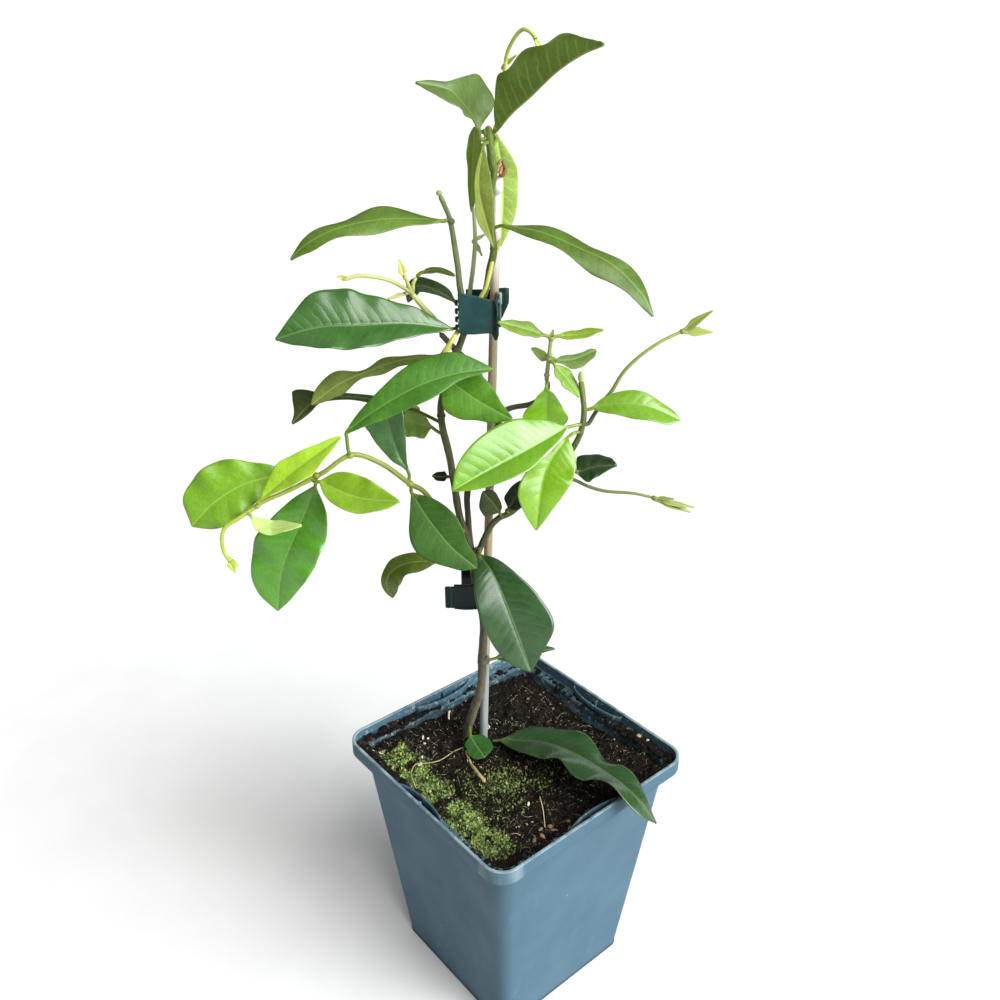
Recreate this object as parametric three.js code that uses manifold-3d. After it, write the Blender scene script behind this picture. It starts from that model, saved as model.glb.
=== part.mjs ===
// Potted star jasmine: a young climbing plant, clipped to one cane, in a square nursery pot.
// Millimetres, +Z up. The origin is the centre of the pot's flat underside.
// The pot's sides lie along X and Y. The plant is set out in a frame of its own that is turned
// about Z, in which x runs to the right, y runs back and z runs up.
import * as THREE from "three";
import { mergeVertices } from "three/addons/utils/BufferGeometryUtils.js";
import Module from "manifold-3d";

const wasm = await Module();
wasm.setup();

// Driving dimensions of the pot
const POT_HEIGHT = 99;
const RIM_HALF = 45;
const RIM_BAND = 5.6;
const RIM_CORNER = 7.5;
const SHOULDER = 4;
const SHOULDER_Z = POT_HEIGHT - RIM_BAND;
const BASE_HALF = 30.6;
const BODY_CORNER = 6.5;
const BASE_CORNER = 3.5;
const WALL = 1.2;
const FLOOR = 1.8;
const CORNER_STEPS = 5;
const DRAIN_RADIUS = 3.5;
const DRAIN_OFFSET = 17;

// The bowed pocket that stands on the inner shoulder in the middle of each side
const POCKET_HALF = 13.5;
const POCKET_BOW = 4.2;
const POCKET_WALL = 0.8;
const POCKET_TOP = 97.5;
const RIB_DEPTH = 2;
const RIB_TOP = 98;

// Soil
const GAP = 0.4;
const SOIL_EDGE = 89.6;
const SOIL_TOP = 90.8;
const SOIL_RIPPLE = 0.7;
const SOIL_MOUNDS = [
  [-28, 36, 17, 3],
  [20, 38, 17, 2.2],
  [38, -30, 12, 2.8],
  [38, 2, 11, -2.2],
];
const SOIL_RINGS = [0.95, 0.85, 0.72, 0.58, 0.43, 0.28, 0.12];
const STEM_HOLE = 2.3;
const STEM_HOLE_BOTTOM = 72;

// Plant frame, cane and stems
const PLANT_TURN = -40.2;
const CANE_LOW = [-13.7, 12.8, 10];
const CANE_HIGH = [-5.9, 12.8, 301];
const CANE_RADIUS_LOW = 1.65;
const CANE_RADIUS_HIGH = 1.35;
const CANE_SIDES = 12;
const STEM_SIDES = 6;
const STEM_STEP = 6.5;

// Clips
const CLIP_WALL = 1.1;
const CLIP_BEND = 2.2;
const CLIP_SETBACK = 2;
const CLIP_NOTCH = 0.9;

// Leaf blades
const BLADE = 0.62;
const RIB = 1;
const RIB_TAPER = 0.3;
const PETIOLE = 0.55;
const ACROSS = [-1, -0.5, 0, 0.5, 1];
const ALONG = [0, 0.08, 0.2, 0.34, 0.48, 0.62, 0.76, 0.9, 1];
const SMALL_ACROSS = [-1, 0, 1];
const SMALL_ALONG = [0, 0.15, 0.35, 0.6, 0.82, 1];
const WIDTH_AT = [0, 0.15, 0.35, 0.55, 0.75, 0.9, 1];
const TIP_HALF = 0.35;
const WAVED_HALF = 4;
const LEFT_PHASE = 1.9;
const TIP_SHARES = [0.3, 0.5, 0.45, 0.3, 0.15];

const COLOURS = {
  pot: "#5f7f90",
  soil: "#2c211b",
  cane: "#a3946f",
  clip: "#163237",
  wood: "#5a4632",
  young: "#a9bd4e",
  dark: "#1f5a2c",
  mid: "#3f8a26",
  olive: "#5d7030",
  bright: "#79c41f",
};

function material(colour, roughness = 0.6) {
  return new THREE.MeshStandardMaterial({ color: COLOURS[colour], roughness, metalness: 0 });
}

// Solids: to and from the boolean library
function toSolid(geometry) {
  const bare = geometry.index ? geometry.toNonIndexed() : geometry.clone();
  bare.deleteAttribute("normal");
  bare.deleteAttribute("uv");
  const merged = mergeVertices(bare, 1e-4);
  return new wasm.Manifold(
    new wasm.Mesh({
      numProp: 3,
      vertProperties: merged.attributes.position.array,
      triVerts: new Uint32Array(merged.index.array),
    }),
  );
}

function fromSolid(solid) {
  const mesh = solid.getMesh();
  const geometry = new THREE.BufferGeometry();
  geometry.setAttribute("position", new THREE.BufferAttribute(mesh.vertProperties, 3));
  geometry.setIndex(new THREE.BufferAttribute(mesh.triVerts, 1));
  return geometry;
}

function fuse(geometries) {
  const [first, ...rest] = geometries.map(toSolid);
  return fromSolid(rest.reduce((all, one) => all.add(one), first));
}

function cut(geometry, tools) {
  return fromSolid(tools.map(toSolid).reduce((rest, tool) => rest.subtract(tool), toSolid(geometry)));
}

// A closed skin over rings of points, with the same number of points in each ring
function skin(rings) {
  const count = rings[0].length;
  const positions = rings.flat().flatMap((p) => [p.x, p.y, p.z]);
  const index = [];
  for (let k = 0; k + 1 < rings.length; k++) {
    for (let i = 0; i < count; i++) {
      const j = (i + 1) % count;
      const a = k * count;
      const b = a + count;
      index.push(a + i, a + j, b + j);
      index.push(a + i, b + j, b + i);
    }
  }
  for (const [ring, end] of [[0, 0], [rings.length - 1, 1]]) {
    const centre = rings[ring].reduce((sum, p) => sum.clone().add(p), new THREE.Vector3());
    centre.divideScalar(count);
    const hub = positions.length / 3;
    positions.push(centre.x, centre.y, centre.z);
    for (let i = 0; i < count; i++) {
      const a = ring * count + i;
      const b = ring * count + ((i + 1) % count);
      index.push(...(end ? [hub, a, b] : [hub, b, a]));
    }
  }
  const geometry = new THREE.BufferGeometry();
  geometry.setAttribute("position", new THREE.Float32BufferAttribute(positions, 3));
  geometry.setIndex(index);
  return geometry;
}

// A square ring with rounded corners, seen from above
function roundedSquare(half, corner, z) {
  const ring = [];
  for (let side = 0; side < 4; side++) {
    for (let i = 0; i <= CORNER_STEPS; i++) {
      const angle = ((side + i / CORNER_STEPS) * Math.PI) / 2;
      const mid = ((side + 0.5) * Math.PI) / 2;
      const reach = (half - corner) * Math.SQRT2;
      const x = Math.cos(mid) * reach + Math.cos(angle) * corner;
      const y = Math.sin(mid) * reach + Math.sin(angle) * corner;
      ring.push(new THREE.Vector3(x, y, z));
    }
  }
  return ring;
}

// Half width of the pot's tapering body at a height
function bodyHalf(z) {
  return BASE_HALF + ((RIM_HALF - SHOULDER - BASE_HALF) * z) / SHOULDER_Z;
}

function extrude(shape, depth, curveSegments = 6) {
  return new THREE.ExtrudeGeometry(shape, { depth, bevelEnabled: false, curveSegments });
}

// A pocket's thin bowed web and the small rib on the wall behind it, on each side of the pot
function pocketPieces() {
  const wall = RIM_HALF - WALL / 2;
  const foot = SHOULDER_Z + WALL / 2;
  const shape = new THREE.Shape();
  shape.absellipse(0, 0, POCKET_HALF, POCKET_BOW, Math.PI, 2 * Math.PI, false);
  const inner = [POCKET_HALF - POCKET_WALL, POCKET_BOW - POCKET_WALL];
  shape.absellipse(0, 0, ...inner, 2 * Math.PI, Math.PI, true);
  shape.closePath();
  const web = extrude(shape, POCKET_TOP - foot).translate(0, wall, foot);
  const rib = new THREE.BoxGeometry(POCKET_WALL, RIB_DEPTH, RIB_TOP - foot);
  rib.translate(0, wall - RIB_DEPTH / 2, (foot + RIB_TOP) / 2);
  const pieces = [0, 1, 2, 3].map((side) => (side * Math.PI) / 2);
  return pieces.flatMap((angle) => [web.clone().rotateZ(angle), rib.clone().rotateZ(angle)]);
}

function potGeometry() {
  const stepZ = SHOULDER_Z + WALL;
  const body = skin([
    roundedSquare(BASE_HALF, BASE_CORNER, 0),
    roundedSquare(bodyHalf(SHOULDER_Z), BODY_CORNER, SHOULDER_Z),
    roundedSquare(RIM_HALF, RIM_CORNER, SHOULDER_Z),
    roundedSquare(RIM_HALF, RIM_CORNER, POT_HEIGHT),
    roundedSquare(RIM_HALF - WALL, RIM_CORNER - WALL, POT_HEIGHT),
    roundedSquare(RIM_HALF - WALL, RIM_CORNER - WALL, stepZ),
    roundedSquare(bodyHalf(stepZ) - WALL, BODY_CORNER - WALL, stepZ),
    roundedSquare(bodyHalf(FLOOR) - WALL, BASE_CORNER - WALL, FLOOR),
  ]);
  const drains = [-1, 1].flatMap((sx) =>
    [-1, 1].map((sy) => {
      const hole = new THREE.CylinderGeometry(DRAIN_RADIUS, DRAIN_RADIUS, 3 * FLOOR, CANE_SIDES);
      hole.rotateX(Math.PI / 2);
      hole.translate(sx * DRAIN_OFFSET, sy * DRAIN_OFFSET, FLOOR / 2);
      return hole;
    }),
  );
  return cut(fuse([body, ...pocketPieces()]), drains);
}

function smooth(points) {
  return new THREE.CatmullRomCurve3(points.map((p) => new THREE.Vector3(...p)), false, "catmullrom");
}

// A round bar along a smooth route, from one radius to another
function bar(route, radiusLow, radiusHigh, sides = STEM_SIDES) {
  const curve = smooth(route);
  const steps = route.length === 2 ? 1 : Math.ceil(curve.getLength() / STEM_STEP);
  const rings = [];
  const normal = new THREE.Vector3(1, 0, 0);
  for (let k = 0; k <= steps; k++) {
    const t = k / steps;
    const tangent = curve.getTangentAt(t);
    normal.addScaledVector(tangent, -normal.dot(tangent)).normalize();
    const binormal = new THREE.Vector3().crossVectors(tangent, normal);
    const radius = radiusLow + (radiusHigh - radiusLow) * t;
    const centre = curve.getPointAt(t);
    const ring = [];
    for (let i = 0; i < sides; i++) {
      const angle = (2 * Math.PI * i) / sides;
      const point = centre.clone();
      point.addScaledVector(normal, Math.cos(angle) * radius);
      point.addScaledVector(binormal, Math.sin(angle) * radius);
      ring.push(point);
    }
    rings.push(ring);
  }
  return skin(rings);
}

function knot(at, radius) {
  const ball = new THREE.SphereGeometry(radius, 7, 4);
  ball.translate(...at);
  return ball;
}

// Half width of one side of a leaf, a smooth curve through its values at WIDTH_AT
function halfWidth(values, u) {
  const heights = [PETIOLE, ...values, TIP_HALF];
  const last = WIDTH_AT.length - 1;
  const k = Math.min(WIDTH_AT.findLastIndex((station) => station <= u), last - 1);
  const slope = (i) => {
    const low = Math.max(i - 1, 0);
    const high = Math.min(i + 1, last);
    return (heights[high] - heights[low]) / (WIDTH_AT[high] - WIDTH_AT[low]);
  };
  const span = WIDTH_AT[k + 1] - WIDTH_AT[k];
  const t = (u - WIDTH_AT[k]) / span;
  const value =
    (2 * t ** 3 - 3 * t ** 2 + 1) * heights[k] +
    (t ** 3 - 2 * t ** 2 + t) * span * slope(k) +
    (3 * t ** 2 - 2 * t ** 3) * heights[k + 1] +
    (t ** 3 - t ** 2) * span * slope(k + 1);
  return Math.max(value, TIP_HALF);
}

// One leaf as a thin closed blade on a stalk. The midrib is a smooth curve through the leaf's
// points. Each half of the blade rises from the midrib by its fold angle, and its edge waves up
// and down by a sine along the length.
function leafGeometry(leaf) {
  const { stalk, midrib, face, fold, left, right } = leaf;
  const { wave = 0, waves = 3, phase = 0, small = false } = leaf;
  const faceTip = leaf.faceTip ?? face;
  const curve = smooth(midrib);
  const base = new THREE.Vector3(...midrib[0]);
  const start = new THREE.Vector3(...stalk);
  const stations = [];
  for (const s of [0, 0.5]) {
    const centre = start.clone().lerp(base, s);
    const tangent = base.clone().sub(start).normalize();
    stations.push({ centre, tangent, u: 0, thick: 2 * PETIOLE });
  }
  for (const u of small ? SMALL_ALONG : ALONG) {
    const thick = u === 0 ? 2 * PETIOLE : BLADE;
    stations.push({ centre: curve.getPoint(u), tangent: curve.getTangent(u), u, thick });
  }
  const rings = stations.map(({ centre, tangent, u, thick }) => {
    const up = new THREE.Vector3(...face).lerp(new THREE.Vector3(...faceTip), u);
    up.addScaledVector(tangent, -up.dot(tangent)).normalize();
    const side = new THREE.Vector3().crossVectors(tangent, up);
    const top = [];
    const under = [];
    for (const v of small ? SMALL_ACROSS : ACROSS) {
      const half = halfWidth(v < 0 ? left : right, u);
      const angle = u === 0 ? 0 : ((v < 0 ? fold[0] : fold[1]) * Math.PI) / 180;
      const swell = Math.min(1, half / WAVED_HALF) * Math.sin(Math.PI * u);
      const turn = 2 * Math.PI * waves * u + phase + (v < 0 ? LEFT_PHASE : 0);
      const ripple = wave * swell * v * v * Math.sin(turn);
      const point = centre.clone().addScaledVector(side, v * half * Math.cos(angle));
      point.addScaledVector(up, Math.abs(v) * half * Math.sin(angle) + ripple);
      const depth = v === 0 && thick === BLADE ? RIB - RIB_TAPER * u : thick;
      top.push(point.clone().addScaledVector(up, thick / 2));
      under.push(point.clone().addScaledVector(up, thick / 2 - depth));
    }
    return [...top, ...under.reverse()];
  });
  return bladeSkin(rings);
}

// A closed skin over blade rings, whose two faces are split into triangles alike
function bladeSkin(rings) {
  const count = rings[0].length;
  const row = count / 2;
  const index = [];
  const positions = rings.flat().flatMap((p) => [p.x, p.y, p.z]);
  const quad = (a, b, c, d) => index.push(a, b, c, a, c, d);
  const top = (k, i) => k * count + i;
  const under = (k, i) => k * count + count - 1 - i;
  for (let k = 0; k + 1 < rings.length; k++) {
    for (let i = 0; i + 1 < row; i++) {
      quad(top(k, i), top(k, i + 1), top(k + 1, i + 1), top(k + 1, i));
      index.push(under(k, i), under(k + 1, i + 1), under(k, i + 1));
      index.push(under(k, i), under(k + 1, i), under(k + 1, i + 1));
    }
    quad(top(k, row - 1), under(k, row - 1), under(k + 1, row - 1), top(k + 1, row - 1));
    quad(under(k, 0), top(k, 0), top(k + 1, 0), under(k + 1, 0));
  }
  const last = rings.length - 1;
  for (let i = 0; i + 1 < row; i++) {
    quad(top(0, i), under(0, i), under(0, i + 1), top(0, i + 1));
    quad(top(last, i), top(last, i + 1), under(last, i + 1), under(last, i));
  }
  const geometry = new THREE.BufferGeometry();
  geometry.setAttribute("position", new THREE.Float32BufferAttribute(positions, 3));
  geometry.setIndex(index);
  return geometry;
}

// Routes of the brown stems, in the plant frame, with a radius at each end
const WOOD = [
  {
    route: [
      [-18, 14.5, 74], [-18, 14.5, 91.5], [-15.5, 11, 105], [-12.4, 9, 117.5], [-11.5, 8, 134],
      [-10.9, 8, 149], [-12.5, 8, 157], [-13.8, 8, 167], [-14.4, 8.5, 176],
    ],
    radii: [1.6, 1.5],
  },
  {
    route: [
      [-14, 8.4, 172], [-16.7, 8, 183], [-18.8, 7, 191.5], [-20.2, 7, 202.5], [-21.6, 7, 213],
      [-23.6, 7, 223], [-23.8, 8, 230], [-21.7, 9, 238.5], [-18.4, 9, 247], [-15.8, 9, 254],
      [-13.2, 9, 260], [-9.8, 9, 265.5], [-8.3, 9, 272.5], [-7, 9, 278.5], [-7.9, 9, 288.5],
      [-7.6, 9, 296], [-6.8, 9, 301], [-7.8, 9, 307], [-8.6, 9, 311.5],
    ],
    radii: [1.3, 1],
  },
  {
    route: [
      [-14.2, 8.5, 173], [-15.4, 9.6, 180], [-15.9, 10, 190], [-16.1, 10, 197], [-14.3, 9.6, 206],
      [-9.9, 8.6, 215.5], [-5.7, 8, 223], [-5.7, 8, 230], [-9.1, 8, 235.5], [-12.2, 8, 240.5],
      [-15.9, 8.4, 245], [-19.4, 9, 248.4], [-23.8, 9.5, 253.1],
    ],
    radii: [1.1, 0.9],
  },
  {
    route: [
      [-13.7, 8.6, 173], [-9.2, 9, 184], [-5.8, 9.6, 188.4], [-0.4, 10, 191.5], [9.8, 8, 203.5],
      [15.8, 4, 213], [19.3, 2, 220], [20.7, 1, 226], [21, 0, 231], [20.6, 0, 234.5],
      [19.6, 0, 241],
    ],
    radii: [1.1, 0.6],
  },
  {
    route: [
      [-5.7, 8, 227], [-1.2, 9, 228.6], [4.5, 9, 229.8], [8.4, 7.6, 233], [9.7, 5, 237],
      [9.4, 3.4, 239.4],
    ],
    radii: [0.9, 0.8],
  },
  {
    route: [
      [-13.8, 9, 257.5], [-16.8, 8, 265.5], [-17.9, 8, 275], [-19.5, 8, 286.5], [-21, 8, 291],
      [-22.6, 8, 294.6],
    ],
    radii: [1.15, 0.95],
  },
];
const WOOD_KNOTS = [
  [[-11.6, 7.6, 131], 2.1], [[-14.6, 8.3, 175], 2.2], [[-19.4, 7.9, 287], 1.35],
  [[-23.9, 7.6, 226.5], 1.7], [[-18.9, 8.8, 248], 1.6], [[-8.7, 9, 309.5], 1.4],
  [[20.1, 1.4, 223], 1.4], [[-7, 9, 279], 1.4],
];

// The stumps of cut or shed side stalks, each from the stem outwards
const WOOD_STUMPS = [
  [[-11.6, 7.6, 131], [-9.4, 7, 134], 0.8], [[-8.6, 9, 309.6], [-9.8, 8.4, 312.4], 0.7],
  [[-8.4, 9, 309.6], [-8.1, 8.6, 312.2], 0.6], [[-14.6, 8.3, 176], [-13, 6.5, 179], 0.7],
];

// Young green shoots: routes with radii, and the small leaves and buds at their ends
const SHOOTS = {
  branch_left: {
    bars: [
      {
        route: [
          [-18.4, 4.9, 185.5], [-23.2, 2, 192], [-29, -4, 204.7], [-33.7, -6, 209],
          [-41.6, -8, 216.5], [-50.3, -10, 220.5], [-58.7, -12, 215.8], [-61.6, -12.3, 214.2],
          [-69.3, -15, 211], [-77, -18, 208.5], [-80.5, -19, 206.3], [-84.5, -21, 204.2],
          [-88.2, -22, 202], [-89.6, -23, 198.8], [-89.6, -23, 194], [-88.4, -23, 191],
        ],
        radii: [1.1, 0.65],
      },
    ],
    knots: [
      [[-33.4, -6, 208.8], 1.5], [[-51, -10, 220.4], 1.5], [[-61.4, -12.2, 214.4], 1.5],
      [[-79, -18.6, 207.2], 1.1],
    ],
    tips: [
      { from: [-88.5, -23, 191.4], to: [-87, -23, 186.6], width: 2.6, face: [0.2, -1, 0.1] },
      { from: [-88.4, -22.6, 191.2], to: [-86.4, -21.4, 187.8], width: 1.8, face: [0.4, -1, 0.3] },
    ],
  },
  shoot_right_inner: {
    bars: [{ route: [[9.3, 3, 241], [9.7, 3, 246], [10.4, 3, 253.6]], radii: [0.85, 0.75] }],
    knots: [[[9.3, 3, 241.6], 1.1], [[10, 3, 248], 1.1], [[10.4, 3, 253.2], 1.2]],
    tips: [{ from: [10.4, 3, 253.4], to: [10.9, 2.4, 256], width: 1.4, face: [0, -1, 0.2] }],
  },
  shoot_right_upper: {
    bars: [
      {
        route: [
          [22.6, 1.3, 226.2], [24.4, 2, 229.1], [27.5, 4, 233], [30, 5, 236], [33.5, 6, 241.8],
          [38.6, 7, 246.7], [44.7, 8, 250.8], [51.1, 9, 253.7],
        ],
        radii: [0.95, 0.65],
      },
    ],
    knots: [[[51, 9, 253.6], 1.1]],
    tips: [
      { from: [50.8, 9, 253.6], to: [59.6, 8, 260.5], width: 2.8, face: [-0.4, -0.7, 0.6] },
      { from: [50.8, 9, 253.4], to: [60.4, 9, 253.5], width: 3, face: [0, -0.8, 0.6] },
      { from: [51, 9, 253.6], to: [56.6, 10, 254.6], width: 1.8, face: [0, -0.8, 0.6] },
    ],
  },
  shoot_right_lower: {
    bars: [
      {
        route: [
          [13, 7.4, 205.2], [19, 6, 204.6], [23.7, 5, 202.7], [29.6, 4, 201.4], [38.3, 3, 201.1],
          [45.5, 2, 199.8], [49, 2, 198.4],
        ],
        radii: [0.85, 0.6],
      },
    ],
    knots: [[[45, 2, 199.9], 1.1]],
    tips: [
      { from: [45, 2, 199.8], to: [55.6, 1, 196.9], width: 2, face: [0, -0.7, 0.7] },
      { from: [45, 1.6, 199.6], to: [57.4, 2.4, 194.6], width: 2.4, face: [0, -0.7, 0.7] },
      { from: [47.5, 2, 199], to: [58.6, 3, 196], width: 1.8, face: [0.1, -0.8, 0.5] },
      { from: [44.8, 1.8, 200], to: [51.2, 0, 200.6], width: 1.5, face: [0, -0.6, 0.8] },
    ],
  },
  shoot_pale_thin: {
    bars: [
      {
        route: [[-14.5, 12.6, 262.5], [-13.2, 13, 273], [-12.6, 14, 281], [-13, 15, 290]],
        radii: [0.75, 0.6],
      },
    ],
    knots: [[[-12.8, 13.8, 280], 1.1]],
    tips: [
      { from: [-12.8, 14, 280.4], to: [-10.6, 15, 275.5], width: 1.5, face: [0, -1, 0] },
      { from: [-12.8, 14, 280.4], to: [-9.8, 16, 281.6], width: 1.3, face: [0, -1, 0] },
    ],
  },
  shoot_young_left: {
    bars: [
      {
        route: [[-24.6, 9.7, 254.4], [-25.6, 9.8, 257.6], [-28, 10, 260.2], [-32.1, 10, 265.4]],
        radii: [0.95, 0.8],
      },
      {
        route: [
          [-32, 10, 265.2], [-34.4, 8, 267.6], [-39, 5, 270.7], [-46.1, 2.5, 272.4],
          [-50, 1.5, 271.7], [-51.4, 1.5, 271.8],
        ],
        radii: [0.6, 0.5],
      },
      { route: [[-32, 10, 265.3], [-33.2, 9, 269.2], [-34, 8.4, 272]], radii: [0.65, 0.5] },
      {
        route: [[-31.6, 10.2, 265.6], [-31.4, 10.8, 268.2], [-30.4, 11.4, 270]],
        radii: [0.6, 0.55],
      },
    ],
    knots: [[[-32, 10, 265.4], 1.2]],
    tips: [
      { from: [-33.7, 8.6, 270], to: [-35, 7.8, 275.8], width: 2.6, face: [0.2, -1, 0.2] },
      { from: [-49.6, 1.6, 271.7], to: [-52.8, 1.6, 272.4], width: 2, face: [0, -1, 0.3] },
      { from: [-33, 9.6, 265.6], to: [-39, 7.6, 264.2], width: 1.6, face: [0.1, -0.6, 0.8] },
    ],
  },
  shoot_yellow_climbing: {
    bars: [
      {
        route: [
          [-23.1, 4, 247.4], [-19.9, 2.6, 252.4], [-16.4, 5.8, 257], [-11, 6.4, 266.2],
          [-8.8, 5.6, 272.2], [-7.6, 6.3, 279], [-9.4, 6.7, 286], [-10.4, 6.7, 294],
          [-8.8, 6.4, 300.5], [-5.6, 6.9, 304.4], [-3.4, 9.4, 307.4], [-2.2, 12.2, 311],
          [-2.6, 15, 317], [-3.8, 17.4, 323.4], [-3.4, 17.6, 330.2], [-1.6, 16, 334.6],
          [0.8, 14.6, 337.4], [2.8, 13.4, 337.2], [4.6, 12.4, 335.6],
        ],
        radii: [0.85, 0.6],
      },
    ],
    knots: [[[-4.2, 18.8, 327.6], 0.9]],
    tips: [
      { from: [4.2, 12.6, 336], to: [6.6, 11.6, 331.6], width: 1.6, face: [0.4, -1, 0.1] },
      { from: [-4.2, 18.8, 328], to: [-0.6, 17, 331], width: 1.3, face: [0.2, -1, 0.2] },
    ],
  },
};

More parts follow.
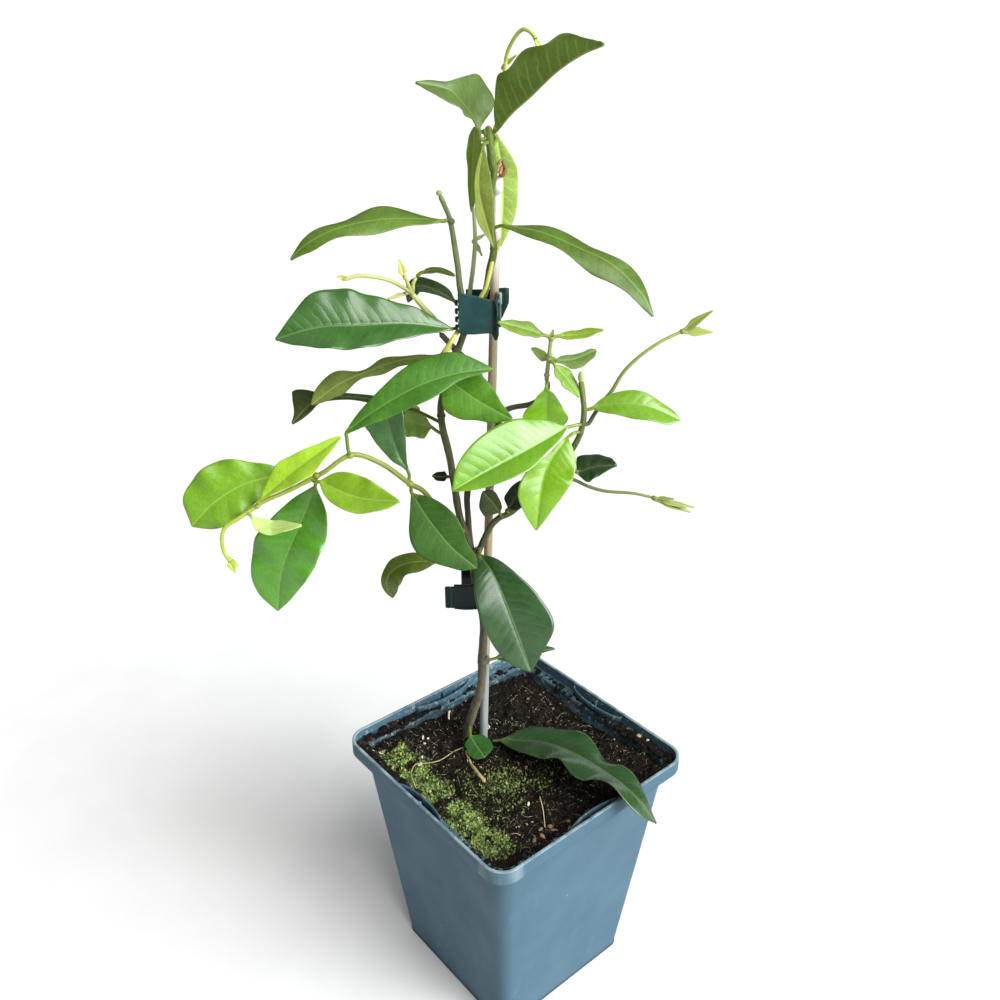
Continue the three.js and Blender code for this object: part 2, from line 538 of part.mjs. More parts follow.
// Leaves, in the plant frame. stalk is where the leaf stalk begins, just clear of its stem, and
// midrib runs from the blade's base to its tip. face is the way the upper side looks, at the base
// and, as faceTip, at the tip. left and right are the half widths at the stations of WIDTH_AT, and
// fold is how many degrees each half rises.
const LEAVES = {
  leaf_top_right: {
    colour: "olive", stalk: [-6.9, 9.6, 311.4],
    midrib: [
      [-6, 8, 312.2], [-1.9, 4, 317.2], [3.2, -1, 321.9], [9.4, -7, 328], [15.4, -12, 332.2],
      [20.8, -16, 334.6],
    ],
    face: [-0.3, 0.45, 0.85], fold: [0, 45],
    left: [1.5, 6, 9, 7.5, 4], right: [5, 9.5, 8.5, 6.5, 3],
    wave: 0.9, phase: 2.4,
  },
  leaf_top_left: {
    colour: "mid", stalk: [-10.6, 7.6, 309.6],
    midrib: [
      [-11, 6, 312.6], [-12.7, 4.8, 315.8], [-15.3, 2, 319.4], [-19.1, -1, 323.1],
      [-27.4, -4, 325.1],
    ],
    face: [0.35, -0.6, 0.7], fold: [15, 15],
    left: [1, 3, 5, 6, 3.5], right: [9, 11.5, 9, 2.5, 1.5],
    wave: 0.8, phase: 0.5,
  },
  leaf_hanging_dark: {
    colour: "dark", stalk: [-10.4, 10.8, 311.4],
    midrib: [[-12.3, 12.4, 312.3], [-13.1, 16.6, 301.7], [-13.7, 18.6, 287.9]],
    face: [-0.7, -0.7, 0.1], fold: [10, 10],
    left: [4.5, 4.5, 3.5, 2.5, 1.5], right: [2, 2.5, 2, 1.5, 1],
    wave: 0.3,
  },
  leaf_hanging_folded: {
    colour: "olive", stalk: [-9.6, 6.6, 308.6],
    midrib: [[-10, 5.4, 307.7], [-11.2, 4, 296.5], [-7, 4.6, 280.3]],
    face: [0.35, -0.95, 0.05], fold: [30, 30],
    left: [2, 3.5, 4, 2.5, 1], right: [1, 1.5, 2, 3.5, 1.5],
    wave: 0.3,
  },
  leaf_hanging_pale: {
    colour: "olive", stalk: [-7.2, 11.2, 311.4],
    midrib: [[-6.1, 13.4, 310], [-4.3, 17.4, 295.9], [-5, 18, 277.8]],
    face: [0.15, -1, 0.1], fold: [6, 6],
    left: [2.5, 4.5, 4.5, 4, 2], right: [2, 3.5, 3.5, 3, 1.5],
    wave: 0.4,
  },
  leaf_long_right: {
    colour: "olive", stalk: [-5.2, 8.6, 285.6],
    midrib: [
      [-3.8, 8, 285.7], [7.3, 5, 284.3], [18.2, 2, 280.3], [27.4, -0.5, 276.2], [35.8, -2, 268.4],
      [39.9, -3, 261.8],
    ],
    face: [0.1, 0, 1], faceTip: [0.6, -0.4, 0.6], fold: [8, -20],
    left: [3, 5.5, 3, 4.5, 1.5], right: [3, 4.5, 5.5, 4, 2],
    wave: 0.9, waves: 2.1, phase: 3.9,
  },
  leaf_long_left: {
    colour: "olive", stalk: [-21.6, 7.4, 287.2],
    midrib: [
      [-22.6, 7, 287.3], [-31.5, 4.4, 288.4], [-41.5, 1.4, 288.4], [-51.8, -1.6, 286.5],
      [-60, -3.4, 282.7], [-64.9, -4, 278.6],
    ],
    face: [-0.1, 0, 1], faceTip: [-0.6, -0.4, 0.6], fold: [-20, 8],
    left: [3, 4, 4, 3, 1.5], right: [5, 7, 4.5, 3, 1.5],
    wave: 0.9, waves: 2.1, phase: 3.9,
  },
  leaf_left_broad_dark: {
    colour: "dark", stalk: [-18, 8.2, 254.8],
    midrib: [
      [-20, 3.4, 256.1], [-32.3, -0.6, 258.8], [-45.9, -3.6, 259.1], [-58.2, -5.6, 259.1],
      [-70.6, -8, 256.3],
    ],
    face: [-0.02, -0.72, 0.7], fold: [9, 9],
    left: [3.5, 7, 9, 8, 4.5], right: [4, 7.5, 11, 10.5, 4.5],
    wave: 0.7, waves: 3.4, phase: 0.6,
  },
  leaf_clip_curled: {
    colour: "dark", stalk: [-18, 12.4, 261.4],
    midrib: [[-19.4, 13.2, 262.2], [-24.4, 15, 264.7], [-30.4, 16.5, 265.9], [-34.1, 18, 260.5]],
    face: [-0.1, -0.6, 0.8], faceTip: [-0.7, -0.7, 0.1], fold: [8, 8],
    left: [1, 1.5, 2, 2.5, 1.5], right: [2, 2.5, 2.5, 3, 2.5],
    wave: 0.2,
  },
  leaf_left_twisted: {
    colour: "olive", stalk: [-22.6, 11.2, 245.3],
    midrib: [
      [-24.5, 10.8, 245.2], [-36.2, 8.2, 244.5], [-45.9, 5, 242], [-55, 2, 238.8], [-63.5, 0, 233],
    ],
    face: [0, 0.1, 1], faceTip: [0.1, -0.9, 0.4], fold: [-20, 8],
    left: [2.5, 2.5, 1.5, 3, 2], right: [2.5, 2.5, 1.5, 4, 3],
    wave: 0.5, waves: 1.8, phase: 1,
  },
  leaf_left_dark_lobed: {
    colour: "dark", stalk: [-24.6, 9.8, 223.4],
    midrib: [
      [-32, 13, 226], [-46.5, 14, 229.4], [-56.2, 11, 231.6], [-62.8, 8, 231.7], [-66.8, 6, 229.1],
      [-70.9, 4, 225.1],
    ],
    face: [0.05, -0.15, 1], faceTip: [-0.1, -0.9, 0.4], fold: [6, 6],
    left: [2, 1.5, 1.5, 2, 1.5], right: [2, 1.5, 2, 7, 2],
    wave: 0.3,
  },
  leaf_middle_broad: {
    colour: "mid", stalk: [-51.2, -11.2, 222.2],
    midrib: [
      [-51.6, -10.4, 227.9], [-43.6, -9, 233.8], [-30.6, -6, 240.7], [-18.6, -3, 244],
      [-7.1, -1, 244.9],
    ],
    face: [-0.18, -0.66, 0.72], fold: [6, 6],
    left: [2.5, 5, 8, 7.5, 3.5], right: [2.5, 5, 6.5, 3, 1.5],
    wave: 0.5, waves: 2.2, phase: 0.4,
  },
  leaf_middle_short: {
    colour: "mid", stalk: [-23.8, 4.8, 240.6],
    midrib: [[-22.3, 3.2, 240.9], [-14.3, 1.6, 235.3], [-7.5, 0.8, 231.3], [-1.3, 0, 228.3]],
    face: [0.12, -0.76, 0.64], fold: [6, 6],
    left: [5.5, 7, 5.5, 3, 1.5], right: [7.5, 8, 5.5, 4, 2],
    wave: 0.4,
  },
  leaf_middle_hanging: {
    colour: "dark", stalk: [-33.8, -3.6, 210.7],
    midrib: [[-34.4, -2.4, 212], [-37.7, 0.6, 217.6], [-42.2, 4.8, 231.4]],
    face: [-0.2, -0.9, 0.3], fold: [14, 14],
    left: [2.5, 3.5, 5.5, 8, 7], right: [2, 3.5, 5, 7, 6],
    wave: 0.3,
  },
  leaf_left_inner: {
    colour: "mid", stalk: [-33, -8.2, 207.4],
    midrib: [[-32.6, -8.8, 206.6], [-26.8, -12, 198.1], [-20.4, -12, 189.1], [-12.6, -11, 181.1]],
    face: [0.22, -0.82, 0.5], fold: [7, 7],
    left: [5, 7.5, 7, 4.5, 3], right: [4, 8.5, 9, 5.5, 3.5],
    wave: 0.5,
  },
  leaf_small_olive: {
    colour: "olive", stalk: [-25.2, 9.2, 220.2],
    midrib: [[-27.6, 13, 220.4], [-32.1, 15.6, 220.4], [-38.2, 18, 220.9]],
    face: [0.05, -0.95, 0.3], fold: [8, 8],
    left: [4, 4.5, 4.5, 5, 3], right: [2, 3.5, 5.5, 6, 5],
    wave: 0.3,
  },
  leaf_tiny_dark: {
    colour: "dark", stalk: [-21.6, 9, 204.2],
    midrib: [[-22.7, 9.8, 203.9], [-25, 10.6, 203.5], [-27.7, 11.4, 203.5]],
    face: [0, -0.8, 0.6], fold: [5, 5],
    left: [1.5, 1.5, 1.5, 1.3, 0.5], right: [1.8, 1.8, 1.7, 1.5, 0.8],
    wave: 0.1, small: true,
  },
  leaf_lower_curled: {
    colour: "olive", stalk: [-17.2, 6.4, 174],
    midrib: [
      [-26.5, 4.4, 174.9], [-35.6, 3.2, 174.9], [-41.4, 2.2, 172.3], [-43.6, 1.4, 167.7],
      [-41.8, 1, 162.4],
    ],
    face: [-0.1, -0.7, 0.7], faceTip: [-0.5, -0.8, 0.3], fold: [6, 6],
    left: [3.5, 4, 5.5, 5, 3.5], right: [3, 3.5, 3, 2, 1.5],
    wave: 0.4,
  },
  leaf_yellow_pointed: {
    colour: "bright", stalk: [-61.6, -14.2, 213.2],
    midrib: [[-59.9, -15, 213.8], [-48.3, -19, 210.3], [-35.2, -21, 209.9]],
    face: [0.06, -0.68, 0.74], fold: [17, 17],
    left: [5, 6.5, 6.5, 4.5, 2], right: [4, 6, 6.5, 5, 3],
    wave: 0.3,
  },
  leaf_yellow_narrow: {
    colour: "bright", stalk: [-78.4, -19.7, 209.2],
    midrib: [[-76.7, -20.4, 210.7], [-65, -17.4, 219.9], [-52.7, -13.4, 227.9]],
    face: [-0.3, -0.72, 0.64], fold: [8, 8],
    left: [3, 5, 4, 2.5, 1.5], right: [2, 4.5, 6, 4, 2],
    wave: 0.3,
  },
  leaf_yellow_wide: {
    colour: "bright", stalk: [-63, -11.2, 215.4],
    midrib: [
      [-69.1, -11, 214.6], [-76.7, -13, 214.2], [-84.7, -15, 212.1], [-93.1, -17, 207],
      [-99.9, -18, 200],
    ],
    face: [0.05, -0.88, 0.48], fold: [-4, 4],
    left: [3.5, 6, 7.5, 8, 5.5], right: [3, 6, 10, 9.5, 6.5],
    wave: 1, waves: 3.2, phase: 1.2,
  },
  leaf_left_large_dark: {
    colour: "dark", stalk: [-62, -10.4, 212.4],
    midrib: [
      [-62.5, -10.2, 209.8], [-67.2, -12, 199.2], [-71.3, -14.4, 190.9], [-74.8, -16, 181.6],
      [-76.6, -18, 169.4],
    ],
    face: [-0.1, -0.92, 0.34], fold: [7, 7],
    left: [7.5, 10, 10, 8.5, 4.5], right: [5.5, 9, 11, 9.5, 6.5],
    wave: 0.5, waves: 2.6, phase: 1.6,
  },
  leaf_left_tip_pale: {
    colour: "bright", stalk: [-80.8, -20.8, 205.4],
    midrib: [[-79.9, -22, 205.2], [-73.5, -25, 203.3], [-63.9, -28.6, 205.8]],
    face: [0.05, -0.45, 0.88], fold: [14, 14],
    left: [1, 2, 2.5, 2, 1], right: [2.5, 3.5, 3.5, 2.5, 1.5],
    wave: 0.3, small: true,
  },
  leaf_pair_left: {
    colour: "bright", stalk: [8.8, 2.8, 254.2],
    midrib: [[8, 2.6, 254.4], [1.9, 2, 256.5], [-5.9, 1, 258.9]],
    face: [0.1, -0.55, 0.82], fold: [8, 8],
    left: [2, 2.5, 3, 2.5, 1.5], right: [1.5, 3, 2.5, 2, 1],
    wave: 0.2, small: true,
  },
  leaf_pair_right: {
    colour: "bright", stalk: [12, 3, 253.9],
    midrib: [[12.8, 3, 254], [18.6, 3, 254.1], [26.1, 3, 255.9]],
    face: [-0.1, -0.5, 0.85], fold: [8, 8],
    left: [1.5, 2, 2, 2, 1], right: [1.5, 1.5, 1.5, 1.5, 0.5],
    wave: 0.2, small: true,
  },
  leaf_olive_left: {
    colour: "olive", stalk: [9.3, 4.8, 247],
    midrib: [[9.2, 5.8, 245.8], [7.7, 8.6, 246.2], [4.7, 12, 247.2]],
    face: [-0.2, -0.9, 0.3], fold: [10, 10],
    left: [1.4, 1.5, 1.4, 1, 0.5], right: [1.4, 1.7, 1.6, 1.4, 1],
    wave: 0.1, small: true,
  },
  leaf_olive_right: {
    colour: "olive", stalk: [11.2, 4.6, 246.4],
    midrib: [[12.3, 6, 245.1], [18.4, 9, 244.8], [25.1, 12, 246.7]],
    face: [0, -0.7, 0.7], faceTip: [-0.2, -0.8, 0.6], fold: [10, 10],
    left: [1.5, 1.7, 1.5, 1.2, 1.2], right: [1.6, 3.7, 3.5, 2.6, 1.9],
    wave: 0.3, small: true,
  },
  leaf_shoot_small: {
    colour: "bright", stalk: [11.2, 1.6, 246],
    midrib: [[11.8, 1.4, 245], [15.5, 0, 241], [19.2, -1.8, 236.2]],
    face: [0.5, -0.72, 0.5], fold: [5, 5],
    left: [2, 3, 2.5, 2, 1], right: [2.5, 2.5, 3, 2, 1],
    wave: 0.1, small: true,
  },
  leaf_bright_upper: {
    colour: "bright", stalk: [9.2, 1.4, 238.8],
    midrib: [[9.2, 1.4, 237.6], [9.3, 2.6, 233.6], [9.4, 3.2, 228.8], [9.5, 3.4, 222.8]],
    face: [0, -0.97, 0.2], fold: [8, 8],
    left: [2.5, 4, 5.5, 7, 5], right: [2.5, 4, 6.5, 7.5, 5],
    wave: 0.3,
  },
  leaf_bright_left: {
    colour: "bright", stalk: [18.4, -0.6, 226.4],
    midrib: [
      [15.5, -1.4, 226], [9.4, -6, 224], [1.6, -11, 221.5], [-8.7, -16, 217.8], [-19.4, -21, 213.5],
    ],
    face: [0.1, -0.68, 0.72], fold: [12, 12],
    left: [2.5, 4.5, 7, 6, 3.5], right: [5, 9, 11, 9.5, 6],
    wave: 0.3,
  },
  leaf_bright_lower: {
    colour: "bright", stalk: [18, -0.6, 223.8],
    midrib: [
      [16.2, -1.2, 222.7], [12.3, -4, 218.9], [8.9, -7, 213.4], [7.4, -10, 206.4], [6.2, -13, 196],
    ],
    face: [0.12, -0.9, 0.42], fold: [13, 13],
    left: [6, 8.5, 9, 6.5, 3], right: [1, 2, 6, 7.5, 4],
    wave: 0.3,
  },
  leaf_bright_right: {
    colour: "bright", stalk: [22.4, -0.4, 231.6],
    midrib: [[23.6, -0.6, 232.2], [31.9, -1.6, 233.9], [41, -2.8, 233.2], [50.3, -4, 229.4]],
    face: [0.02, -0.6, 0.8], fold: [6, 6],
    left: [3, 4.5, 4.5, 3, 2], right: [3, 4.5, 5.5, 5, 3.5],
    wave: 0.5, waves: 1.6, phase: 0.4,
  },
  leaf_dark_right: {
    colour: "dark", stalk: [17.6, 5.2, 211.4],
    midrib: [[20.1, 6.6, 206.7], [25.6, 7, 208.7], [33, 6.4, 209.6]],
    face: [-0.1, -0.6, 0.8], fold: [5, 5],
    left: [5, 5, 4.5, 3.5, 2.5], right: [4.5, 4.5, 4, 2.5, 1],
    wave: 0.3, small: true,
  },
  leaf_dark_inner: {
    colour: "dark", stalk: [-3, 8.2, 192],
    midrib: [[-2.1, 7.6, 193.4], [0.2, 6.6, 197.8], [3.7, 5.4, 204.5]],
    face: [-0.5, -0.8, 0.2], fold: [8, 8],
    left: [3, 3.5, 3.5, 3, 2], right: [2.5, 3.5, 4.5, 4.5, 3],
    wave: 0.2, small: true,
  },
  leaf_olive_inner: {
    colour: "olive", stalk: [-5.2, 7.6, 191.4],
    midrib: [[-5.4, 7, 192.2], [-7, 6.6, 195.2], [-10.8, 6.2, 200.1]],
    face: [0.1, -0.9, 0.3], fold: [6, 6],
    left: [3.5, 5, 5, 4.5, 2.5], right: [1.5, 2, 2.5, 3, 2.5],
    wave: 0.2, small: true,
  },
  leaf_large_lower: {
    colour: "dark", stalk: [-12.2, 5, 178.4],
    midrib: [
      [-11.9, 3, 178], [-7.8, -2, 174.3], [-3.5, -7, 166.5], [1.2, -11, 154.4], [5.3, -14, 142.3],
    ],
    face: [0.34, -0.84, 0.44], fold: [8, 8],
    left: [3.5, 7, 11, 12.5, 5.5], right: [5, 8.5, 10, 9, 5.5],
    wave: 0.4, waves: 2.2, phase: 0.4,
  },
  leaf_low_hidden: {
    colour: "dark", stalk: [-8.4, 9.2, 131],
    midrib: [[-6.6, 10.6, 130.6], [2.9, 15, 128.8], [15.3, 19, 128.9]],
    face: [0, -0.5, 0.9], fold: [8, 8],
    left: [2, 2.5, 2.5, 2.5, 1.5], right: [2, 2.5, 2, 1, 0.5],
    wave: 0.2, small: true,
  },
  leaf_on_soil: {
    colour: "dark", stalk: [-8, 9.4, 93.2],
    midrib: [
      [-5.2, 8.8, 94], [10.2, 2.8, 98.2], [21.9, -6.8, 101], [32.2, -19.1, 103],
      [40.5, -29.2, 102.5], [48.4, -32.9, 93],
    ],
    face: [0.1, -0.1, 1], faceTip: [0.7, -0.2, 0.75], fold: [4, 4],
    left: [8.4, 11, 7, 8, 3], right: [8.4, 9.4, 12.6, 7.4, 4.8],
    wave: 1.6, waves: 3.4, phase: 5,
  },
  leaf_base_oval: {
    colour: "dark", stalk: [-16.6, 10, 98],
    midrib: [[-16.3, 8.6, 96.2], [-13.5, 4.4, 94.2], [-10.8, 0.4, 93]],
    face: [0, -0.4, 0.9], fold: [3, 3],
    left: [4, 5, 5.5, 5, 4], right: [3.5, 4, 4.5, 4, 3],
    wave: 0.1, small: true,
  },
  leaf_young_edge_on: {
    colour: "olive", stalk: [-29.2, 11.8, 271],
    midrib: [[-28.4, 12, 271.2], [-24, 13, 271.6], [-18.8, 12.6, 270]],
    face: [0.1, -0.25, 0.96], fold: [10, 10],
    left: [1.3, 1.4, 1.4, 1.3, 1], right: [2, 2.5, 2.5, 2, 1.5],
    wave: 0.1, small: true,
  },
};

// Clips: a plate in front, a bowed end on the right with a pin, and a plate behind, open on the
// left. The front plate's left edge is toothed, and a clip may have a thumb tab beyond that edge.
const CLIPS = {
  clip_upper: {
    centre: [-11, 9.2, 260], length: 14.2, depth: 13.8, height: 10,
    teeth: 4, lug: 3.8, tab: 0,
  },
  clip_lower: {
    centre: [-13.8, 9.4, 161.4], length: 15, depth: 13.4, height: 9.4,
    teeth: 0, lug: 3.6, tab: 3,
  },
};

function clipGeometry({ centre, length, depth, height, teeth, lug, tab }) {
  const half = length / 2;
  const back = depth / 2;
  const plan = new THREE.Shape();
  plan.moveTo(-half, -back);
  plan.lineTo(half - CLIP_BEND, -back);
  plan.quadraticCurveTo(half, -back, half, 0);
  plan.quadraticCurveTo(half, back, half - CLIP_BEND, back);
  plan.lineTo(-half + CLIP_SETBACK, back);
  plan.lineTo(-half + CLIP_SETBACK, back - CLIP_WALL);
  plan.lineTo(half - CLIP_BEND, back - CLIP_WALL);
  plan.quadraticCurveTo(half - CLIP_WALL, back - CLIP_WALL, half - CLIP_WALL, 0);
  plan.quadraticCurveTo(half - CLIP_WALL, -back + CLIP_WALL, half - CLIP_BEND, -back + CLIP_WALL);
  plan.lineTo(-half, -back + CLIP_WALL);
  plan.closePath();
  const band = extrude(plan, height);
  band.translate(0, 0, -height / 2);
  const pin = new THREE.CylinderGeometry(CLIP_WALL, CLIP_WALL, 0.8 * height, 10);
  pin.rotateX(Math.PI / 2);
  pin.translate(half, 0, 0);
  const ear = new THREE.BoxGeometry(lug, CLIP_WALL, 0.8 * height);
  ear.translate(half - CLIP_BEND + lug / 2, back - CLIP_WALL / 2, 0.6);
  const pieces = [band, pin, ear];
  if (tab) {
    const thumb = new THREE.BoxGeometry(tab + 1, CLIP_WALL, 0.9 * height);
    thumb.translate(-half - tab / 2 + 0.5, -back + CLIP_WALL / 2, -0.05 * height);
    pieces.push(thumb);
  }
  const notches = [];
  for (let k = 0; k < teeth; k++) {
    const notch = new THREE.CylinderGeometry(CLIP_NOTCH, CLIP_NOTCH, 4 * CLIP_WALL, 3);
    notch.translate(-half, -back, (k + 0.5 - teeth / 2) * (height / teeth));
    notches.push(notch);
  }
  const whole = notches.length ? cut(fuse(pieces), notches) : fuse(pieces);
  whole.translate(...centre);
  return whole;
}

// Height of the soil over its level: a slow ripple, and low mounds and a hollow along the walls
function soilHeight(x, y) {
  const ripple = Math.sin(0.55 * x + 1.1) * Math.cos(0.47 * y) + 0.6 * Math.sin(0.9 * y - 0.4 * x);
  const mounds = SOIL_MOUNDS.map(([cx, cy, spread, rise]) => {
    return rise * Math.exp(-((x - cx) ** 2 + (y - cy) ** 2) / spread ** 2);
  });
  return 0.5 * SOIL_RIPPLE * ripple + mounds.reduce((sum, rise) => sum + rise, 0);
}

function soilGeometry(holes) {
  const inside = (z) => bodyHalf(z) - WALL - GAP;
  const rings = [
    roundedSquare(inside(FLOOR + GAP), BASE_CORNER - WALL, FLOOR + GAP),
    roundedSquare(inside(SOIL_EDGE), BODY_CORNER - WALL, SOIL_EDGE),
  ];
  for (const share of SOIL_RINGS) {
    const ring = roundedSquare(inside(SOIL_EDGE) * share, (BODY_CORNER - WALL) * share, SOIL_TOP);
    for (const p of ring) {
      p.z += soilHeight(p.x, p.y);
    }
    rings.push(ring);
  }
  return cut(skin(rings), holes);
}

function turned(geometry) {
  return geometry.clone().rotateZ((PLANT_TURN * Math.PI) / 180);
}

// The scene graph
const root = new THREE.Group();
const plant = new THREE.Group();
plant.rotation.z = (PLANT_TURN * Math.PI) / 180;
root.add(plant);

function place(parent, name, geometry, colour, roughness) {
  const mesh = new THREE.Mesh(geometry, material(colour, roughness));
  mesh.name = name;
  parent.add(mesh);
}

const caneFoot = [CANE_LOW[0], CANE_LOW[1], CANE_LOW[2] - GAP];
const caneHole = bar([caneFoot, CANE_HIGH], CANE_RADIUS_LOW + GAP, CANE_RADIUS_HIGH + GAP, CANE_SIDES);
const [stemX, stemY] = WOOD[0].route[0];
const stemLine = [[stemX, stemY, STEM_HOLE_BOTTOM], [stemX, stemY, POT_HEIGHT]];
const stemHole = bar(stemLine, STEM_HOLE, STEM_HOLE, CANE_SIDES);
place(root, "pot", potGeometry(), "pot", 0.45);
place(root, "soil", soilGeometry([turned(caneHole), turned(stemHole)]), "soil", 0.95);
const cane = bar([CANE_LOW, CANE_HIGH], CANE_RADIUS_LOW, CANE_RADIUS_HIGH, CANE_SIDES);
place(plant, "cane", cane, "cane", 0.7);

const wood = WOOD.map(({ route, radii }) => bar(route, ...radii));
const knots = WOOD_KNOTS.map(([at, radius]) => knot(at, radius));
const stumps = WOOD_STUMPS.map(([from, to, radius]) => bar([from, to], radius, radius));
place(plant, "stem_woody", fuse([...wood, ...knots, ...stumps]), "wood", 0.8);

for (const [name, shoot] of Object.entries(SHOOTS)) {
  const bars = shoot.bars.map(({ route, radii }) => bar(route, ...radii));
  const swellings = shoot.knots.map(([at, radius]) => knot(at, radius));
  const tips = shoot.tips.map(({ from, to, width, face }) => {
    const middle = from.map((value, i) => 0.5 * (value + to[i]));
    const base = from.map((value, i) => value + 0.15 * (to[i] - value));
    const halves = TIP_SHARES.map((share) => share * width);
    const outline = { left: halves, right: halves, fold: [10, 10], small: true };
    return leafGeometry({ stalk: from, midrib: [base, middle, to], face, ...outline });
  });
  place(plant, name, fuse([...bars, ...swellings, ...tips]), "young", 0.5);
}

for (const [name, leaf] of Object.entries(LEAVES)) {
  place(plant, name, leafGeometry(leaf), leaf.colour, 0.35);
}

for (const [name, clip] of Object.entries(CLIPS)) {
  place(plant, name, clipGeometry(clip), "clip", 0.4);
}

export default root;
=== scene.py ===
"""Potted star jasmine: a young climbing plant, clipped to one cane, in a square nursery pot.

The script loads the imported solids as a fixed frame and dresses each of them: the same routes,
outlines and folds as in the solids, worked out on finer grids, with veins, bark, peat and moss.
Lengths are in millimetres until a surface is put into its mesh, which is in metres. The plant's
points are in a frame of its own, turned about Z, in which x runs to the right and y runs back.
"""
import math
from collections import namedtuple

import bpy
import numpy as np
from bpy.props import FloatProperty, FloatVectorProperty, IntProperty, PointerProperty
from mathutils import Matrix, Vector


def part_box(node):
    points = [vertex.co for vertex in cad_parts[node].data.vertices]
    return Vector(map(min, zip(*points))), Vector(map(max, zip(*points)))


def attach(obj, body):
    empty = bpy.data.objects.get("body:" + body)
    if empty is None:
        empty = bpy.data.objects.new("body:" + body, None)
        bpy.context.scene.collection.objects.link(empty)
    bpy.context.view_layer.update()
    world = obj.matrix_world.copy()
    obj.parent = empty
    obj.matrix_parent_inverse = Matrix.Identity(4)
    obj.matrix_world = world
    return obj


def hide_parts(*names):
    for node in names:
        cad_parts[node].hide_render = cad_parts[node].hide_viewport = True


bl_info = {
    "name": "Potted star jasmine",
    "version": (1, 0, 0),
    "blender": (4, 5, 0),
    "location": "3D View > Sidebar > Jasmine",
    "description": "A young star jasmine on a cane in a square nursery pot",
    "category": "Add Mesh",
}

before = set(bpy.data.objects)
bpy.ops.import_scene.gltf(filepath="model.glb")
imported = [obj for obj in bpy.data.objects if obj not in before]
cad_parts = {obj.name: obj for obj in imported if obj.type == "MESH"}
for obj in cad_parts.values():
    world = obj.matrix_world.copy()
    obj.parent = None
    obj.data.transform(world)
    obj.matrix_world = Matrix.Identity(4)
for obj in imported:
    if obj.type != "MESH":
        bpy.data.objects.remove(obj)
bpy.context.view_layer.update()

MM = 0.001
PLANT_TURN = math.radians(-40.2)

# Pot
POT_HEIGHT = 1000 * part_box("pot")[1].z
RIM_HALF = 1000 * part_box("pot")[1].x
RIM_BAND = 5.6
RIM_CORNER = 7.5
SHOULDER = 4
SHOULDER_Z = POT_HEIGHT - RIM_BAND
BASE_HALF = 30.6
BODY_CORNER = 6.5
BASE_CORNER = 3.5
WALL = 1.2
FLOOR = 1.8
FLOOR_MIDDLE = (6, 2)
DRAIN_RADIUS = 3.5
DRAIN_OFFSET = 17
DRAIN_SIDES = 32
POCKET_HALF = 13.5
POCKET_BOW = 4.2
POCKET_WALL = 0.8
POCKET_TOP = 97.5
POCKET_STEPS = 61
POCKET_SECTION = np.array([(0.5, 0), (0.42, 0.9), (0.24, 1), (-0.24, 1), (-0.42, 0.9), (-0.5, 0)])
RIB_DEPTH = 2
RIB_TOP = 98
RIB_SECTION = np.array([(0.38, 0), (0.38, 0.8), (0.2, 1), (-0.2, 1), (-0.38, 0.8), (-0.38, 0)])
CORNER_LEAN = 0.208

# Soil: hills are x, y, spread and rise, its noise is size, height and seed, and ANY_TURN is the
# range of a random turn in radians
SOIL_EDGE = 89.6
SOIL_TOP = 90.8
SOIL_RIPPLE = 0.7
SOIL_GAP = 0.1
SOIL_MOUNDS = ((-28, 36, 17, 3), (20, 38, 17, 2.2), (38, -30, 12, 2.8), (38, 2, 11, -2.2))
SOIL_NOISE = ((3.1, 1.5, 3), (1.25, 0.9, 4), (0.55, 0.5, 5))
SOIL_RINGS = 55
SOIL_STEPS = (10, 46)
LEDGE_CRUMBS = 3400
GRIT_GRAINS = 260
LEDGE_GRAINS = 60
LEDGE_PILES = ((42, -36, 22, 1), (-40, 40, 26, 1))
MOSS_PATCHES = ((-13, -6, 9, 0.35), (4, -11, 7, 0.18))
FIBRE_POINTS = 7
ANY_TURN = 6.3

# Cane and stems
CANE_LOW = (-13.7, 12.8, 10)
CANE_HIGH = (-5.9, 12.8, 301)
CANE_RADII = (1.65, 1.35)
CANE_NODES = (46, 118, 190, 284.8)
CANE_ROWS = 260
CANE_SIDES = 20
CANE_TOP_END = 290.4
STEM_SIDES = 14
STEM_STEP = 0.8

# Leaf blades
PETIOLE = 0.55
TIP_HALF = 0.35
WIDTH_AT = np.array([0, 0.15, 0.35, 0.55, 0.75, 0.9, 1])
BLADE_STEP = 0.62
BLADE_ROWS = (16, 96)
BLADE_COLUMNS = 25
BLADE_FLARE = 0.07
LEFT_PHASE = 1.9
WAVED_HALF = 4
TIP_SHARES = (0.3, 0.5, 0.45, 0.3, 0.15)

# Farthest that a stem, a shoot and a leaf stalk grow back to the stem that bears it
STEM_REACH, SHOOT_REACH, STALK_REACH = 3, 6.5, 5
TOUCHING = 0.6
SAME_START = 0.05
CORE_POINTS = 120

# The camera as the photograph was taken: its place in the pot's frame and its drop below level
CAMERA_PLACE = (-188.4, -215.0, 341.1)
CAMERA_DROP = 26.25

# Lamps: the way towards each, its width in degrees, its setting and its colour
LAMPS = {
    "window": ((-0.002, -0.695, 0.72), 40, "window", (1, 0.99, 0.97)),
    "right_side": ((0.399, -0.863, 0.31), 45, "side", (0.93, 0.97, 1)),
    "overhead": ((0, 0, 1), 90, "overhead", (1, 1, 1)),
}

# The world's light: heights between which it fades, and its strength at the horizon
HORIZON = (0.03, 0.12, 1.05)

# First numbers of the random draws
SEEDS = dict(straw=7, crumbs=21, moss=31, fibres=41, stems=50, stumps=61, shoots=70, splinters=90)

